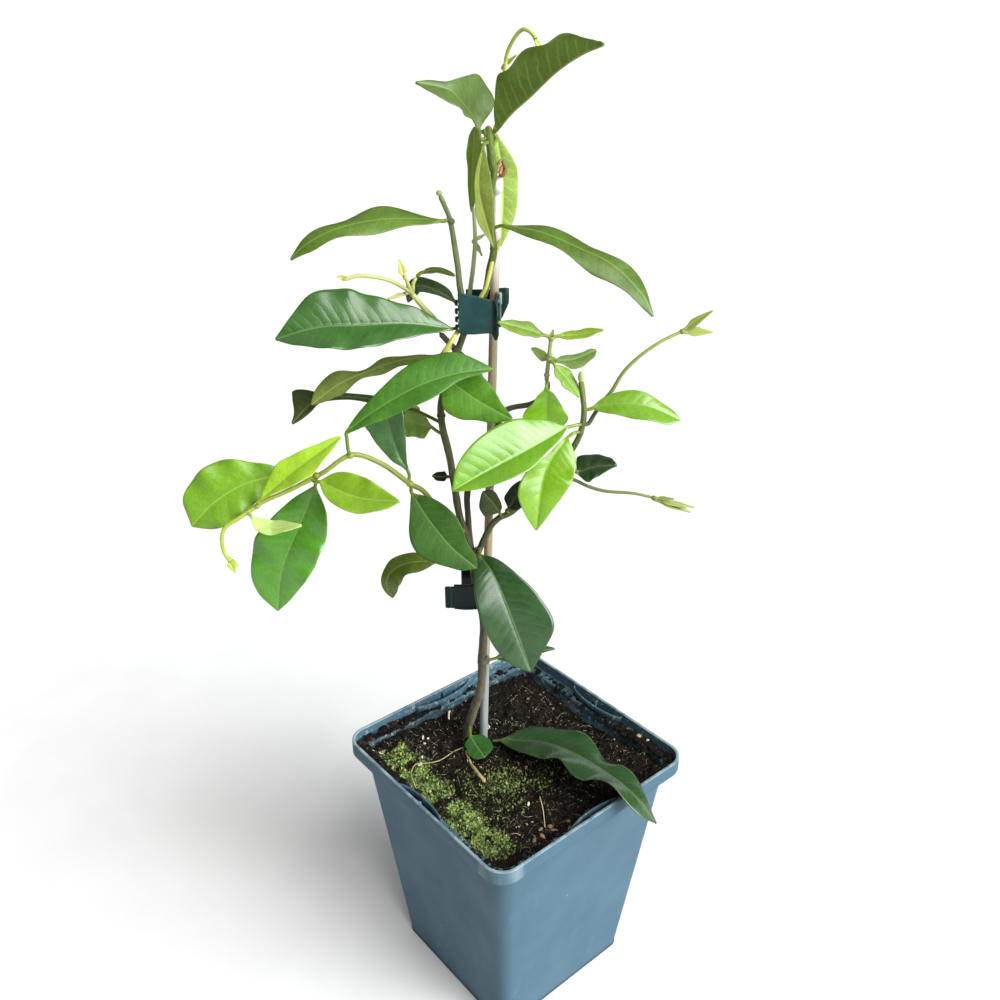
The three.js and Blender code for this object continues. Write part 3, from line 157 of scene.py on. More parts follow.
# Colours of the finishes, in linear light. The clip's pale factor is a factor on the clip's own colour,
# for its pin and for painted glints.
RIM_SHADOW, FOOT_SHADOW = (0.01, 0.02, 0.028), (0.02, 0.035, 0.045)
LIME_SPECKS, LIME_FILM = (0.5, 0.54, 0.54), (0.3, 0.36, 0.33)
CORNER_HIGHLIGHT, SPLASHED_PEAT = (0.28, 0.33, 0.35), (0.02, 0.016, 0.012)
PALE_VEIN, STALK_TINT = (0.42, 0.5, 0.2), (0.04, 0.04, 0)
DAMP_CANE, CANE_TOP_HIGHLIGHT, CANE_STAIN = (0.26, 0.30, 0.31), (0.84, 0.79, 0.74), (0.2, 0.15, 0.09)
CLIP_DUST, CLIP_GLINT = (0.1, 0.16, 0.16), np.array((20, 6, 6.4))
PEAT_SPECKS, BARK_FLAKES, GRIT = (0.34, 0.26, 0.17), (0.2, 0.14, 0.085), (0.42, 0.38, 0.28)
MOSS_FOOT, DRY_MOSS = (0.035, 0.06, 0.012), (0.26, 0.23, 0.12)
PALE_FIBRE, DARK_FIBRE = (0.4, 0.34, 0.23), (0.1, 0.065, 0.04)

# Looks of the leaves: roughness, veins, blotches, specular level and weight of the glossy coat
LEAF_FINISHES = {
    "leaf_dark": (0.3, 0.4, 0.14, 0.5, 0.25),
    "leaf_olive": (0.46, 0.45, 0.16, 0.35, 0.1),
    "leaf_young": (0.28, 0.25, 0.1, 0.55, 0.3),
    "leaf_matte": (0.56, 0.45, 0.16, 0.22, 0.0),
    "leaf_veined": (0.5, 3.2, 0.16, 0.3, 0.05),
}

# Form of a leaf: where its stalk begins, the midrib from the blade's base to its tip, the way the
# upper side looks, the folds of both halves in degrees, their half widths, and the edge's wave.
# The left half comes first. face_tip is the way the upper side looks at the tip, where it turns.
Blade = namedtuple(
    "Blade", "stalk midrib face fold left right wave waves phase face_tip", defaults=(0, 3, 0, None))

# Pale buds on the brown stems: place, half sizes and tone
WOOD_BUDS = [
    ((19.6, 0, 242), (0.95, 0.95, 1.9), "#90a860"), ((-22.7, 8, 295), (0.95, 0.95, 0.8), "#8a9a6a"),
]

# Chips that show singly on the peat: place, height over it, half sizes, turn and colour
CHIPS = [
    (-10.6, -20.2, 0.7, 0.9, 0.5, 1.2, 0.6, 0.8, 0.76, 0.66),
    (-28.4, -14, 0.8, 0.6, 0.5, 0.5, 0.2, 0.6, 0.58, 0.5),
    (-19.5, 30.5, 0.5, 1.3, 0.5, 0.5, 1.0, 0.62, 0.58, 0.46),
    (-17.6, 29.8, 0.5, 0.8, 0.5, 0.4, 0.3, 0.6, 0.55, 0.42),
    (-21, 27.4, 0.5, 0.7, 0.5, 0.5, 2.0, 0.64, 0.6, 0.5),
    (-25.6, 22.7, 0.6, 0.5, 0.4, 0.8, 1.2, 0.66, 0.62, 0.52),
    (-28.4, 20.2, 0.5, 1.5, 0.8, 0.5, 0.4, 0.46, 0.42, 0.32),
    (42, -24, 3.6, 1.3, 0.9, 0.6, 0.8, 0.42, 0.4, 0.28),
    (42.4, -28, 3.4, 0.8, 0.7, 0.5, 0.2, 0.5, 0.47, 0.34),
    (-20, -33.7, 0.5, 1.6, 0.7, 0.4, 0.5, 0.2, 0.14, 0.09),
    (-17, -34.5, 0.6, 1.4, 0.8, 0.4, 1.5, 0.3, 0.21, 0.14),
    (-12, -35, 0.5, 1.5, 0.6, 0.4, 2.4, 0.24, 0.16, 0.1),
    (-15, -31.5, 0.5, 1.2, 0.6, 0.4, 0.1, 0.26, 0.19, 0.13),
    (4, 20, 0.6, 0.4, 0.3, 0.7, 0.1, 0.7, 0.68, 0.6),
]

# Straws and roots that show singly on the peat: x, y and height over it, radii and tone
STRAWS = [
    ([(-5.6, -20.5, 1.6), (-9, -26, 1.4), (-13.5, -32, 0.5)], (0.16, 0.12), "#d8cba6"),
    ([(-24.7, -26.8, 0.5), (-23.4, -28.6, 0.9), (-22.2, -30.7, 0.4)], (0.2, 0.1), "#b8ab8c"),
    ([(-40, 34.8, 4), (-38.3, 34.6, 1.6), (-36, 32.6, 0.6)], (0.18, 0.18), "#cfc8a8"),
    ([(-9.4, 17.6, 1), (-14, 17.9, 1.2), (-21, 18, 1), (-27, 19.4, 1), (-30, 20.6, 1.3),
      (-33.4, 18.6, 1.6), (-35.6, 15, 1.8), (-37, 10.7, 1.8), (-37.6, 5, 1.5), (-38, -1, 1.2),
      (-38.2, -6.4, 0.6)], (0.2, 0.12), "#a79c6a"),
    ([(-11, 15, 1), (-12.8, 9.6, 0.6), (-14.8, 3.6, 0.7), (-14.8, -1.4, 0.4)], (0.4, 0.75), "#a8966c"),
    ([(-0.6, 38.4, 0.4), (-2.8, 36, 1.4), (-5, 33.2, 0.4)], (0.5, 0.3), "#d8cfc0"),
    ([(4.6, 19.4, 0.4), (4.3, 19.8, 1.8), (4, 20.3, 2.6)], (0.4, 0.2), "#cfc6b0"),
]

# Torn skin round the cane's split top, with its tones
CANE_SPLINTERS = [
    ([(-5.2, 11.6, 299), (-3.6, 11, 301), (-4.6, 11, 303.6)], "#8a6444"),
    ([(-5.2, 11.6, 299.4), (-4.9, 11.2, 301), (-3.9, 11.1, 302.6)], "#b08c62"),
    ([(-6, 11.4, 299.2), (-6.3, 11, 300.4), (-7.2, 10.9, 300.9)], "#d8b88c"),
    ([(-6.6, 11.8, 299.4), (-5.8, 11.2, 300.8), (-4.6, 11.2, 300.6)], "#c08c58"),
    ([(-6.4, 11.2, 300), (-5.8, 10.7, 302), (-4.9, 10.9, 304)], "#a08058"),
    ([(-7, 12.2, 299), (-7.2, 11.6, 300), (-6.4, 11.3, 301.3)], "#b99a68"),
]

# Clips: tone is its brightness, painted shade that makes the lower clip, under the leaves, darker than
# the upper; rise and flare are how far its front jaw climbs and its tab drops
Clip = namedtuple("Clip", "centre length depth height teeth lug tab tone rise flare")
CLIPS = {
    "clip_upper": Clip((-11, 9.2, 260), 14.2, 13.8, 10, 4, 3.8, 0, 1.0, 2.2, 2),
    "clip_lower": Clip((-13.8, 9.4, 161.4), 15, 13.4, 9.4, 0, 3.6, 3, 0.3, 0, 0),
}
CLIP_SECTION = np.array([
    (-1, -0.94), (-0.8, -1), (0.8, -1), (1, -0.94), (1, 0), (1, 0.94), (0.8, 1), (-0.8, 1),
    (-1, 0.94), (-1, 0)])
JAW_THICK, TAB_THICK, LUG_THICK = 0.55, 0.4, 0.45
BAR_SIDES = 20

# A rounded lump with 20 faces, for crumbs, grit and moss
LUMP = np.array([
    (0, 0, 1), (0.89, 0, 0.45), (0.28, 0.85, 0.45), (-0.72, 0.53, 0.45), (-0.72, -0.53, 0.45),
    (0.28, -0.85, 0.45), (0.72, 0.53, -0.45), (-0.28, 0.85, -0.45), (-0.89, 0, -0.45),
    (-0.28, -0.85, -0.45), (0.72, -0.53, -0.45), (0, 0, -1)])
LUMP_FACES = np.array([
    (0, 1, 2), (0, 2, 3), (0, 3, 4), (0, 4, 5), (0, 5, 1), (1, 6, 2), (2, 7, 3), (3, 8, 4), (4, 9, 5),
    (5, 10, 1), (6, 7, 2), (7, 8, 3), (8, 9, 4), (9, 10, 5), (10, 6, 1), (11, 7, 6), (11, 8, 7),
    (11, 9, 8), (11, 10, 9), (11, 6, 10)])
NO_QUADS = np.zeros((0, 4), int)

# A shoot of moss: three walls, its foot and its pointed top
MOSS_WALLS = np.array([(0, 1, 4, 3), (1, 2, 5, 4), (2, 0, 3, 5)])
MOSS_ENDS = np.array([(1, 0, 2), (3, 4, 6), (4, 5, 6), (5, 3, 6)])

# The brown stems, from the foot up: a route, the radii at its ends and the tones there
WOOD = [
    ([(-18, 14.5, 74), (-18, 14.5, 91.5), (-15.5, 11, 105), (-12.4, 9, 117.5), (-11.5, 8, 134),
      (-10.9, 8, 149), (-12.5, 8, 157), (-13.8, 8, 167), (-14.4, 8.5, 176)],
     (1.6, 1.5), ("#6f6b58", "#3c3428")),
    ([(-14, 8.4, 172), (-16.7, 8, 183), (-18.8, 7, 191.5), (-20.2, 7, 202.5), (-21.6, 7, 213),
      (-23.6, 7, 223), (-23.8, 8, 230), (-21.7, 9, 238.5), (-18.4, 9, 247), (-15.8, 9, 254),
      (-13.2, 9, 260), (-9.8, 9, 265.5), (-8.3, 9, 272.5), (-7, 9, 278.5), (-7.9, 9, 288.5),
      (-7.6, 9, 296), (-6.8, 9, 301), (-7.8, 9, 307), (-8.6, 9, 311.5)],
     (1.25, 0.95), ("#3c3828", "#566a28")),
    ([(-14.2, 8.5, 173), (-15.4, 9.6, 180), (-15.9, 10, 190), (-16.1, 10, 197), (-14.3, 9.6, 206),
      (-9.9, 8.6, 215.5), (-5.7, 8, 223), (-5.7, 8, 230), (-9.1, 8, 235.5), (-12.2, 8, 240.5),
      (-15.9, 8.4, 245), (-19.4, 9, 248.4), (-23.8, 9.5, 253.1)],
     (1.1, 0.9), ("#3e3828", "#4c4c30")),
    ([(-13.7, 8.6, 173), (-9.2, 9, 184), (-5.8, 9.6, 188.4), (-0.4, 10, 191.5), (9.8, 8, 203.5),
      (15.8, 4, 213), (19.3, 2, 220), (20.7, 1, 226), (21, 0, 231), (20.6, 0, 234.5), (19.6, 0, 241)],
     (1.1, 0.95), ("#3e3a28", "#62703a")),
    ([(-5.7, 8, 227), (-1.2, 9, 228.6), (4.5, 9, 229.8), (8.4, 7.6, 233), (9.7, 5, 237),
      (9.4, 3.4, 239.4)],
     (0.9, 0.8), ("#38342a", "#4c5a34")),
    ([(-13.8, 9, 257.5), (-16.8, 8, 265.5), (-17.9, 8, 275), (-19.5, 8, 286.5), (-21, 8, 291),
      (-22.6, 8, 294.6)],
     (1.0, 0.72), ("#48502e", "#6a7a48")),
]

# Knots on the brown stems: place and radius
WOOD_KNOTS = [
    ((-11.6, 7.6, 131), 2.1), ((-14.6, 8.3, 175), 2.2), ((-19.4, 7.9, 287), 1.35),
    ((-23.9, 7.6, 226.5), 1.7), ((-18.9, 8.8, 248), 1.6), ((-8.7, 9, 309.5), 1.4),
    ((20.1, 1.4, 223), 1.4), ((-7, 9, 279), 1.4)]

# Stumps of shed stalks: foot, top and radius
WOOD_STUMPS = [
    ((-7, 9, 300.5), (-8.5, 9, 313.2), 1.35), ((-11.6, 7.6, 131), (-9.4, 7, 134), 0.8),
    ((-8.6, 9, 309.6), (-9.8, 8.4, 312.4), 0.7), ((-8.4, 9, 309.6), (-8.1, 8.6, 312.2), 0.6),
    ((-14.6, 8.3, 176), (-13, 6.5, 179), 0.7)]

# Young shoots: tones at foot and tip, stems as route and radii, knots as place and radius, and
# leaves in bud as start, end, width and face
SHOOTS = {
    "branch_left": (("#5a5e28", "#9aa83e"), [
        ([(-18.4, 4.9, 185.5), (-23.2, 2, 192), (-29, -4, 204.7), (-33.7, -6, 209), (-41.6, -8, 216.5),
          (-50.3, -10, 220.5), (-58.7, -12, 215.8), (-61.6, -12.3, 214.2), (-69.3, -15, 211),
          (-77, -18, 208.5), (-80.5, -19, 206.3), (-84.5, -21, 204.2), (-88.2, -22, 202),
          (-89.6, -23, 198.8), (-89.6, -23, 194), (-88.4, -23, 191)], (0.92, 0.6)),
    ], [((-33.4, -6, 208.8), 1.5), ((-51, -10, 220.4), 1.5), ((-61.4, -12.2, 214.4), 1.5),
        ((-79, -18.6, 207.2), 1.1)], [
        ((-88.5, -23, 191.4), (-87, -23, 186.6), 2.6, (0.2, -1, 0.1)),
        ((-88.4, -22.6, 191.2), (-86.4, -21.4, 187.8), 1.8, (0.4, -1, 0.3)),
    ]),
    "shoot_right_inner": (("#6a7048", "#8a9450"), [
        ([(9.3, 3, 241), (9.7, 3, 246), (10.4, 3, 253.6)], (0.7, 0.6)),
    ], [((9.3, 3, 241.6), 1.1), ((10, 3, 248), 1.1), ((10.4, 3, 253.2), 1.2)], [
        ((10.4, 3, 253.4), (10.9, 2.4, 256), 1.4, (0, -1, 0.2)),
    ]),
    "shoot_right_upper": (("#505a38", "#8c9c4a"), [
        ([(22.6, 1.3, 226.2), (24.4, 2, 229.1), (27.5, 4, 233), (30, 5, 236), (33.5, 6, 241.8),
          (38.6, 7, 246.7), (44.7, 8, 250.8), (51.1, 9, 253.7)], (0.7, 0.48)),
    ], [((51, 9, 253.6), 1.1)], [
        ((50.8, 9, 253.6), (59.6, 8, 260.5), 2.8, (-0.4, -0.7, 0.6)),
        ((50.8, 9, 253.4), (60.4, 9, 253.5), 3, (0, -0.8, 0.6)),
        ((51, 9, 253.6), (56.6, 10, 254.6), 1.8, (0, -0.8, 0.6)),
    ]),
    "shoot_right_lower": (("#424a34", "#7f8f48"), [
        ([(13, 7.4, 205.2), (19, 6, 204.6), (23.7, 5, 202.7), (29.6, 4, 201.4), (38.3, 3, 201.1),
          (45.5, 2, 199.8), (49, 2, 198.4)], (0.62, 0.45)),
    ], [((45, 2, 199.9), 1.1)], [
        ((45, 2, 199.8), (55.6, 1, 196.9), 2, (0, -0.7, 0.7)),
        ((45, 1.6, 199.6), (57.4, 2.4, 194.6), 2.4, (0, -0.7, 0.7)),
        ((47.5, 2, 199), (58.6, 3, 196), 1.8, (0.1, -0.8, 0.5)),
        ((44.8, 1.8, 200), (51.2, 0, 200.6), 1.5, (0, -0.6, 0.8)),
    ]),
    "shoot_pale_thin": (("#6e7e50", "#a4b07c"), [
        ([(-14.5, 12.6, 262.5), (-13.2, 13, 273), (-12.6, 14, 281), (-13, 15, 290)], (0.75, 0.6)),
    ], [((-12.8, 13.8, 280), 1.1)], [
        ((-12.8, 14, 280.4), (-10.6, 15, 275.5), 1.5, (0, -1, 0)),
        ((-12.8, 14, 280.4), (-9.8, 16, 281.6), 1.3, (0, -1, 0)),
    ]),
    "shoot_young_left": (("#66693a", "#b0b468"), [
        ([(-24.6, 9.7, 254.4), (-25.6, 9.8, 257.6), (-28, 10, 260.2), (-32.1, 10, 265.4)], (0.95, 0.8)),
        ([(-32, 10, 265.2), (-34.4, 8, 267.6), (-39, 5, 270.7), (-46.1, 2.5, 272.4), (-50, 1.5, 271.7),
          (-51.4, 1.5, 271.8)], (0.6, 0.5)),
        ([(-32, 10, 265.3), (-33.2, 9, 269.2), (-34, 8.4, 272)], (0.65, 0.5)),
        ([(-31.6, 10.2, 265.6), (-31.4, 10.8, 268.2), (-30.4, 11.4, 270)], (0.6, 0.55)),
    ], [((-32, 10, 265.4), 1.2)], [
        ((-33.7, 8.6, 270), (-35, 7.8, 275.8), 2.6, (0.2, -1, 0.2)),
        ((-49.6, 1.6, 271.7), (-52.8, 1.6, 272.4), 2, (0, -1, 0.3)),
        ((-33, 9.6, 265.6), (-39, 7.6, 264.2), 1.6, (0.1, -0.6, 0.8)),
    ]),
    "shoot_yellow_climbing": (("#b2b054", "#a8b058"), [
        ([(-23.1, 4, 247.4), (-19.9, 2.6, 252.4), (-16.4, 5.8, 257), (-10.4, 6.4, 265.9),
          (-8.7, 6.6, 270.2), (-7.4, 8.5, 275.1), (-5.7, 11.4, 279.7), (-5.4, 14.9, 283.6),
          (-5.8, 15.8, 290.4), (-6.6, 15.8, 300.4), (-7.2, 14.6, 308.9), (-5.6, 14.4, 314.2),
          (-3, 15, 318), (-3.8, 17.4, 323.4), (-3.4, 17.6, 330.2), (-1.6, 16, 334.6),
          (0.8, 14.6, 337.4), (2.8, 13.4, 337.2), (4.6, 12.4, 335.6)], (0.72, 0.55)),
    ], [((-4.2, 18.8, 327.6), 0.9)], [
        ((4.2, 12.6, 336), (6.6, 11.6, 331.6), 1.6, (0.4, -1, 0.1)),
        ((-4.2, 18.8, 328), (-0.6, 17, 331), 1.3, (0.2, -1, 0.2)),
    ]),
}

# Leaves: slot, look, tone above, tone below and blade
LEAVES = {
    "leaf_top_right": ("leaf_olive", "leaf_matte", "#303b07", "#546a20", Blade(
        (-6.9, 9.6, 311.4), [(-6, 8, 312.2), (-1.9, 4, 317.2), (3.2, -1, 321.9), (9.4, -7, 328),
        (15.4, -12, 332.2), (20.8, -16, 334.6)], (-0.3, 0.45, 0.85), (36, 50), (1.5, 6, 9, 7.5, 4),
        (5, 9.5, 8.5, 6.5, 3), 0.9, 4, 0.6)),
    "leaf_top_left": ("leaf_green", "leaf_olive", "#4c6327", "#46590f", Blade(
        (-10.6, 7.6, 309.6), [(-11, 6, 312.6), (-12.7, 4.8, 315.8), (-15.3, 2, 319.4),
        (-19.1, -1, 323.1), (-27.4, -4, 325.1)], (0.35, -0.6, 0.7), (15, 15), (1, 3, 5, 6, 3.5),
        (9, 11.5, 9, 2.5, 1.5), 0.5, phase=0.5)),
    "leaf_hanging_dark": ("leaf_olive", "leaf_matte", "#627c00", "#46590f", Blade(
        (-10.4, 10.8, 311.4), [(-12.3, 12.4, 312.3), (-13.1, 16.6, 301.7), (-13.7, 18.6, 287.9)],
        (-0.7, -0.7, 0.1), (10, 10), (4.5, 4.5, 3.5, 2.5, 1.5), (2, 2.5, 2, 1.5, 1), 0.3)),
    "leaf_hanging_folded": ("leaf_olive", "leaf_matte", "#69762e", "#46590f", Blade(
        (-9.6, 6.6, 308.6), [(-10, 5.4, 307.7), (-11.2, 4, 296.5), (-7, 4.6, 280.3)],
        (0.35, -0.95, 0.05), (30, 30), (2, 3.5, 4, 2.5, 1), (1, 1.5, 2, 3.5, 1.5), 0.3)),
    "leaf_hanging_pale": ("leaf_olive", "leaf_veined", "#8ea64b", "#46590f", Blade(
        (-7.2, 11.2, 311.4), [(-6.1, 13.4, 310), (-4.3, 17.4, 295.9), (-5, 18, 277.8)], (0.15, -1, 0.1),
        (6, 6), (2.5, 4.5, 4.5, 4, 2), (2, 3.5, 3.5, 3, 1.5), 0.4)),
    "leaf_long_right": ("leaf_olive", "leaf_olive", "#445e12", "#46590f", Blade(
        (-5.2, 8.6, 285.6), [(-3.8, 8, 285.7), (7.3, 5, 284.3), (18.2, 2, 280.3), (27.4, -0.5, 276.2),
        (35.8, -2, 268.4), (39.9, -3, 261.8)], (0.1, 0, 1), (12, -30), (3, 5.5, 3, 4.5, 1.5),
        (3, 4.5, 5.5, 4, 2), 0.9, 2.1, 3.9, face_tip=(0.6, -0.4, 0.6))),
    "leaf_long_left": ("leaf_olive", "leaf_olive", "#4c6818", "#46590f", Blade(
        (-21.6, 7.4, 287.2), [(-22.6, 7, 287.3), (-31.5, 4.4, 288.4), (-41.5, 1.4, 288.4),
        (-51.8, -1.6, 286.5), (-60, -3.4, 282.7), (-64.9, -4, 278.6)], (-0.1, 0, 1), (-30, 12),
        (3, 4, 4, 3, 1.5), (5, 7, 4.5, 3, 1.5), 0.9, 2.1, 3.9, face_tip=(-0.6, -0.4, 0.6))),
    "leaf_left_broad_dark": ("leaf_dark", "leaf_dark", "#2b5518", "#46590f", Blade(
        (-18, 8.2, 254.8), [(-20, 3.4, 256.1), (-32.3, -0.6, 258.8), (-45.9, -3.6, 259.1),
        (-58.2, -5.6, 259.1), (-70.6, -8, 256.3)], (-0.02, -0.72, 0.7), (14, 12), (3.5, 7, 9, 8, 4.5),
        (4, 7.5, 11, 10.5, 4.5), 0.45, 5.6, 0.6)),
    "leaf_clip_curled": ("leaf_dark", "leaf_matte", "#384c2c", "#46590f", Blade(
        (-18, 12.4, 261.4), [(-19.4, 13.2, 262.2), (-24.4, 15, 264.7), (-30.4, 16.5, 265.9),
        (-34.1, 18, 260.5)], (-0.1, -0.6, 0.8), (8, 8), (1, 1.5, 2, 2.5, 1.5), (2, 2.5, 2.5, 3, 2.5),
        0.2, face_tip=(-0.7, -0.7, 0.1))),
    "leaf_left_twisted": ("leaf_olive", "leaf_matte", "#5c6b2c", "#46590f", Blade(
        (-22.6, 11.2, 245.3), [(-24.5, 10.8, 245.2), (-36.2, 8.2, 244.5), (-45.9, 5, 242),
        (-55, 2, 238.8), (-63.5, 0, 233)], (0, 0.1, 1), (-20, 8), (2.5, 2.5, 1.5, 3, 2),
        (2.5, 2.5, 1.5, 4, 3), 1.1, 3, 1, face_tip=(0.1, -0.9, 0.4))),
    "leaf_left_dark_lobed": ("leaf_dark", "leaf_matte", "#33401a", "#46590f", Blade(
        (-24.6, 9.8, 223.4), [(-32, 13, 226), (-46.5, 14, 229.4), (-56.2, 11, 231.6), (-62.8, 8, 231.7),
        (-66.8, 6, 229.1), (-70.9, 4, 225.1)], (0.05, -0.15, 1), (6, 6), (2, 1.5, 1.5, 2, 1.5),
        (2, 1.5, 2, 7, 2), 0.3, face_tip=(-0.1, -0.9, 0.4))),
    "leaf_middle_broad": ("leaf_green", "leaf_olive", "#3a6a18", "#46590f", Blade(
        (-51.2, -11.2, 222.2), [(-51.6, -10.4, 227.9), (-43.6, -9, 233.8), (-30.6, -6, 240.7),
        (-18.6, -3, 244), (-7.1, -1, 244.9)], (-0.18, -0.66, 0.72), (6, 6), (2.5, 5, 8, 7.5, 3.5),
        (2.5, 5, 6.5, 3, 1.5), 0.5, 2.2, 0.4)),
    "leaf_middle_short": ("leaf_green", "leaf_matte", "#43700f", "#46590f", Blade(
        (-23.8, 4.8, 240.6), [(-22.3, 3.2, 240.9), (-14.3, 1.6, 235.3), (-7.5, 0.8, 231.3),
        (-1.3, 0, 228.3)], (0.15, -0.95, 0.28), (6, 6), (5.5, 7, 5.5, 3, 1.5), (7.5, 8, 5.5, 4, 2),
        0.4)),
    "leaf_middle_hanging": ("leaf_dark", "leaf_dark", "#416a36", "#46590f", Blade(
        (-33.8, -3.6, 210.7), [(-34.4, -2.4, 212), (-37.7, 0.6, 217.6), (-42.2, 4.8, 231.4)],
        (-0.2, -0.9, 0.3), (16, 16), (1.3, 2.8, 4.5, 6.4, 7), (1.2, 2.6, 4, 5.6, 6), 0.3)),
    "leaf_left_inner": ("leaf_dark", "leaf_matte", "#2b4e12", "#46590f", Blade(
        (-33, -8.2, 207.4), [(-32.6, -8.8, 206.6), (-26.8, -12, 198.1), (-20.4, -12, 189.1),
        (-12.6, -11, 181.1)], (0.12, -0.96, 0.26), (7, 7), (5, 7.5, 7, 4.5, 3), (4, 8.5, 9, 5.5, 3.5),
        0.5)),
    "leaf_small_olive": ("leaf_olive", "leaf_olive", "#7a9c44", "#46590f", Blade(
        (-25.2, 9.2, 220.2), [(-27.6, 13, 220.4), (-32.1, 15.6, 220.4), (-38.2, 18, 220.9)],
        (0.05, -0.95, 0.3), (8, 8), (4, 4.5, 4.5, 5, 3), (2, 3.5, 5.5, 6, 5), 0.8)),
    # Its near-black upper tone is partly the leaf's own dark green and partly painted shade deep in the
    # plant
    "leaf_tiny_dark": ("leaf_dark", "leaf_matte", "#132604", "#46590f", Blade(
        (-21.6, 9, 204.2), [(-22.7, 9.8, 203.9), (-25, 10.6, 203.5), (-27.7, 11.4, 203.5)],
        (0, -0.8, 0.6), (5, 5), (1.5, 1.5, 1.5, 1.3, 0.5), (1.8, 1.8, 1.7, 1.5, 0.8), 0.1)),
    "leaf_lower_curled": ("leaf_olive", "leaf_olive", "#46590f", "#46590f", Blade(
        (-17.2, 6.4, 174), [(-26.5, 4.4, 174.9), (-35.6, 3.2, 174.9), (-41.4, 2.2, 172.3),
        (-43.6, 1.4, 167.7), (-41.8, 1, 162.4)], (-0.1, -0.7, 0.7), (6, 6), (3.5, 4, 5.5, 5, 3.5),
        (3, 3.5, 3, 2, 1.5), 0.6, face_tip=(-0.5, -0.8, 0.3))),
    "leaf_yellow_pointed": ("leaf_young", "leaf_young", "#6c8e18", "#637322", Blade(
        (-61.6, -14.2, 213.2), [(-59.9, -15, 213.8), (-48.3, -19, 210.3), (-35.2, -21, 209.9)],
        (0.06, -0.68, 0.74), (24, 24), (5, 6.5, 6.5, 4.5, 2), (4, 6, 6.5, 5, 3), 0.3)),
    "leaf_yellow_narrow": ("leaf_young", "leaf_young", "#8fb428", "#637322", Blade(
        (-78.4, -19.7, 209.2), [(-76.7, -20.4, 210.7), (-65, -17.4, 219.9), (-52.7, -13.4, 227.9)],
        (-0.3, -0.72, 0.64), (17, 17), (3, 5, 4, 2.5, 1.5), (2, 4.5, 6, 4, 2), 0.3)),
    "leaf_yellow_wide": ("leaf_young", "leaf_olive", "#628c18", "#637322", Blade(
        (-63, -11.2, 215.4), [(-69.1, -11, 214.6), (-76.7, -13, 214.2), (-84.7, -15, 212.1),
        (-93.1, -17, 207), (-99.9, -18, 200)], (0.05, -0.88, 0.48), (-4, 4), (3.5, 6, 7.5, 8, 5.5),
        (3, 6, 10, 9.5, 6.5), 1.1, 4.6, 1.2)),
    "leaf_left_large_dark": ("leaf_dark", "leaf_dark", "#457d1b", "#46590f", Blade(
        (-62, -10.4, 212.4), [(-62.5, -10.2, 209.8), (-67.2, -12, 199.2), (-71.3, -14.4, 190.9),
        (-74.8, -16, 181.6), (-76.6, -18, 169.4)], (-0.1, -0.92, 0.34), (7, 7), (7.5, 10, 10, 8.5, 4.5),
        (5.5, 9, 11, 9.5, 6.5), 0.8, 3.8, 1.6)),
    "leaf_left_tip_pale": ("leaf_young", "leaf_young", "#acc671", "#637322", Blade(
        (-80.8, -20.8, 205.4), [(-79.9, -22, 205.2), (-73.5, -25, 203.3), (-63.9, -28.6, 205.8)],
        (0.05, -0.45, 0.88), (14, 14), (1, 2, 2.5, 2, 1), (2.5, 3.5, 3.5, 2.5, 1.5), 0.3)),
    "leaf_pair_left": ("leaf_olive", "leaf_olive", "#658129", "#637322", Blade(
        (8.8, 2.8, 254.2), [(8, 2.6, 254.4), (1.9, 2, 256.5), (-5.9, 1, 258.9)], (0.1, -0.55, 0.82),
        (8, 8), (2, 2.5, 3, 2.5, 1.5), (1.5, 3, 2.5, 2, 1), 0.2)),
    "leaf_pair_right": ("leaf_young", "leaf_young", "#7b9920", "#637322", Blade(
        (12, 3, 253.9), [(12.8, 3, 254), (18.6, 3, 254.1), (26.1, 3, 255.9)], (-0.1, -0.5, 0.85),
        (8, 8), (1.5, 2, 2, 2, 1), (1.5, 1.5, 1.5, 1.5, 0.5), 0.2)),
    "leaf_olive_left": ("leaf_green", "leaf_olive", "#94b25e", "#46590f", Blade(
        (9.3, 4.8, 247), [(9.2, 5.8, 245.8), (7.7, 8.6, 246.2), (4.7, 12, 247.2)], (-0.2, -0.9, 0.3),
        (10, 10), (1.4, 1.5, 1.4, 1, 0.5), (1.4, 1.7, 1.6, 1.4, 1), 0.1)),
    "leaf_olive_right": ("leaf_green", "leaf_matte", "#5c7434", "#46590f", Blade(
        (11.2, 4.6, 246.4), [(12.3, 6, 245.1), (18.4, 9, 244.8), (25.1, 12, 246.7)], (0, -0.7, 0.7),
        (10, 10), (1.5, 1.7, 1.5, 1.2, 1.2), (1.6, 3.7, 3.5, 2.6, 1.9), 0.3,
        face_tip=(-0.2, -0.8, 0.6))),
    "leaf_shoot_small": ("leaf_young", "leaf_olive", "#5f8412", "#637322", Blade(
        (11.2, 1.6, 246), [(11.8, 1.4, 245), (15.5, 0, 241), (19.2, -1.8, 236.2)], (0.5, -0.72, 0.5),
        (5, 5), (2, 3, 2.5, 2, 1), (2.5, 2.5, 3, 2, 1), 0.1)),
    "leaf_bright_upper": ("leaf_young", "leaf_young", "#6fa216", "#637322", Blade(
        (9.2, 1.4, 238.8), [(9.2, 1.4, 237.6), (9.3, 2.6, 233.6), (9.4, 3.2, 228.8), (9.5, 3.4, 222.8)],
        (0, -0.97, 0.2), (8, 8), (2.5, 4, 5.5, 7, 5), (2.5, 4, 6.5, 7.5, 5), 0.3)),
    "leaf_bright_left": ("leaf_young", "leaf_young", "#5d8c12", "#637322", Blade(
        (18.4, -0.6, 226.4), [(15.5, -1.4, 226), (9.4, -6, 224), (1.6, -11, 221.5), (-8.7, -16, 217.8),
        (-19.4, -21, 213.5)], (0.1, -0.68, 0.72), (21, 19), (2.5, 4.5, 7, 6, 3.5), (5, 9, 11, 9.5, 6),
        0.3)),
    "leaf_bright_lower": ("leaf_young", "leaf_young", "#6b9519", "#637322", Blade(
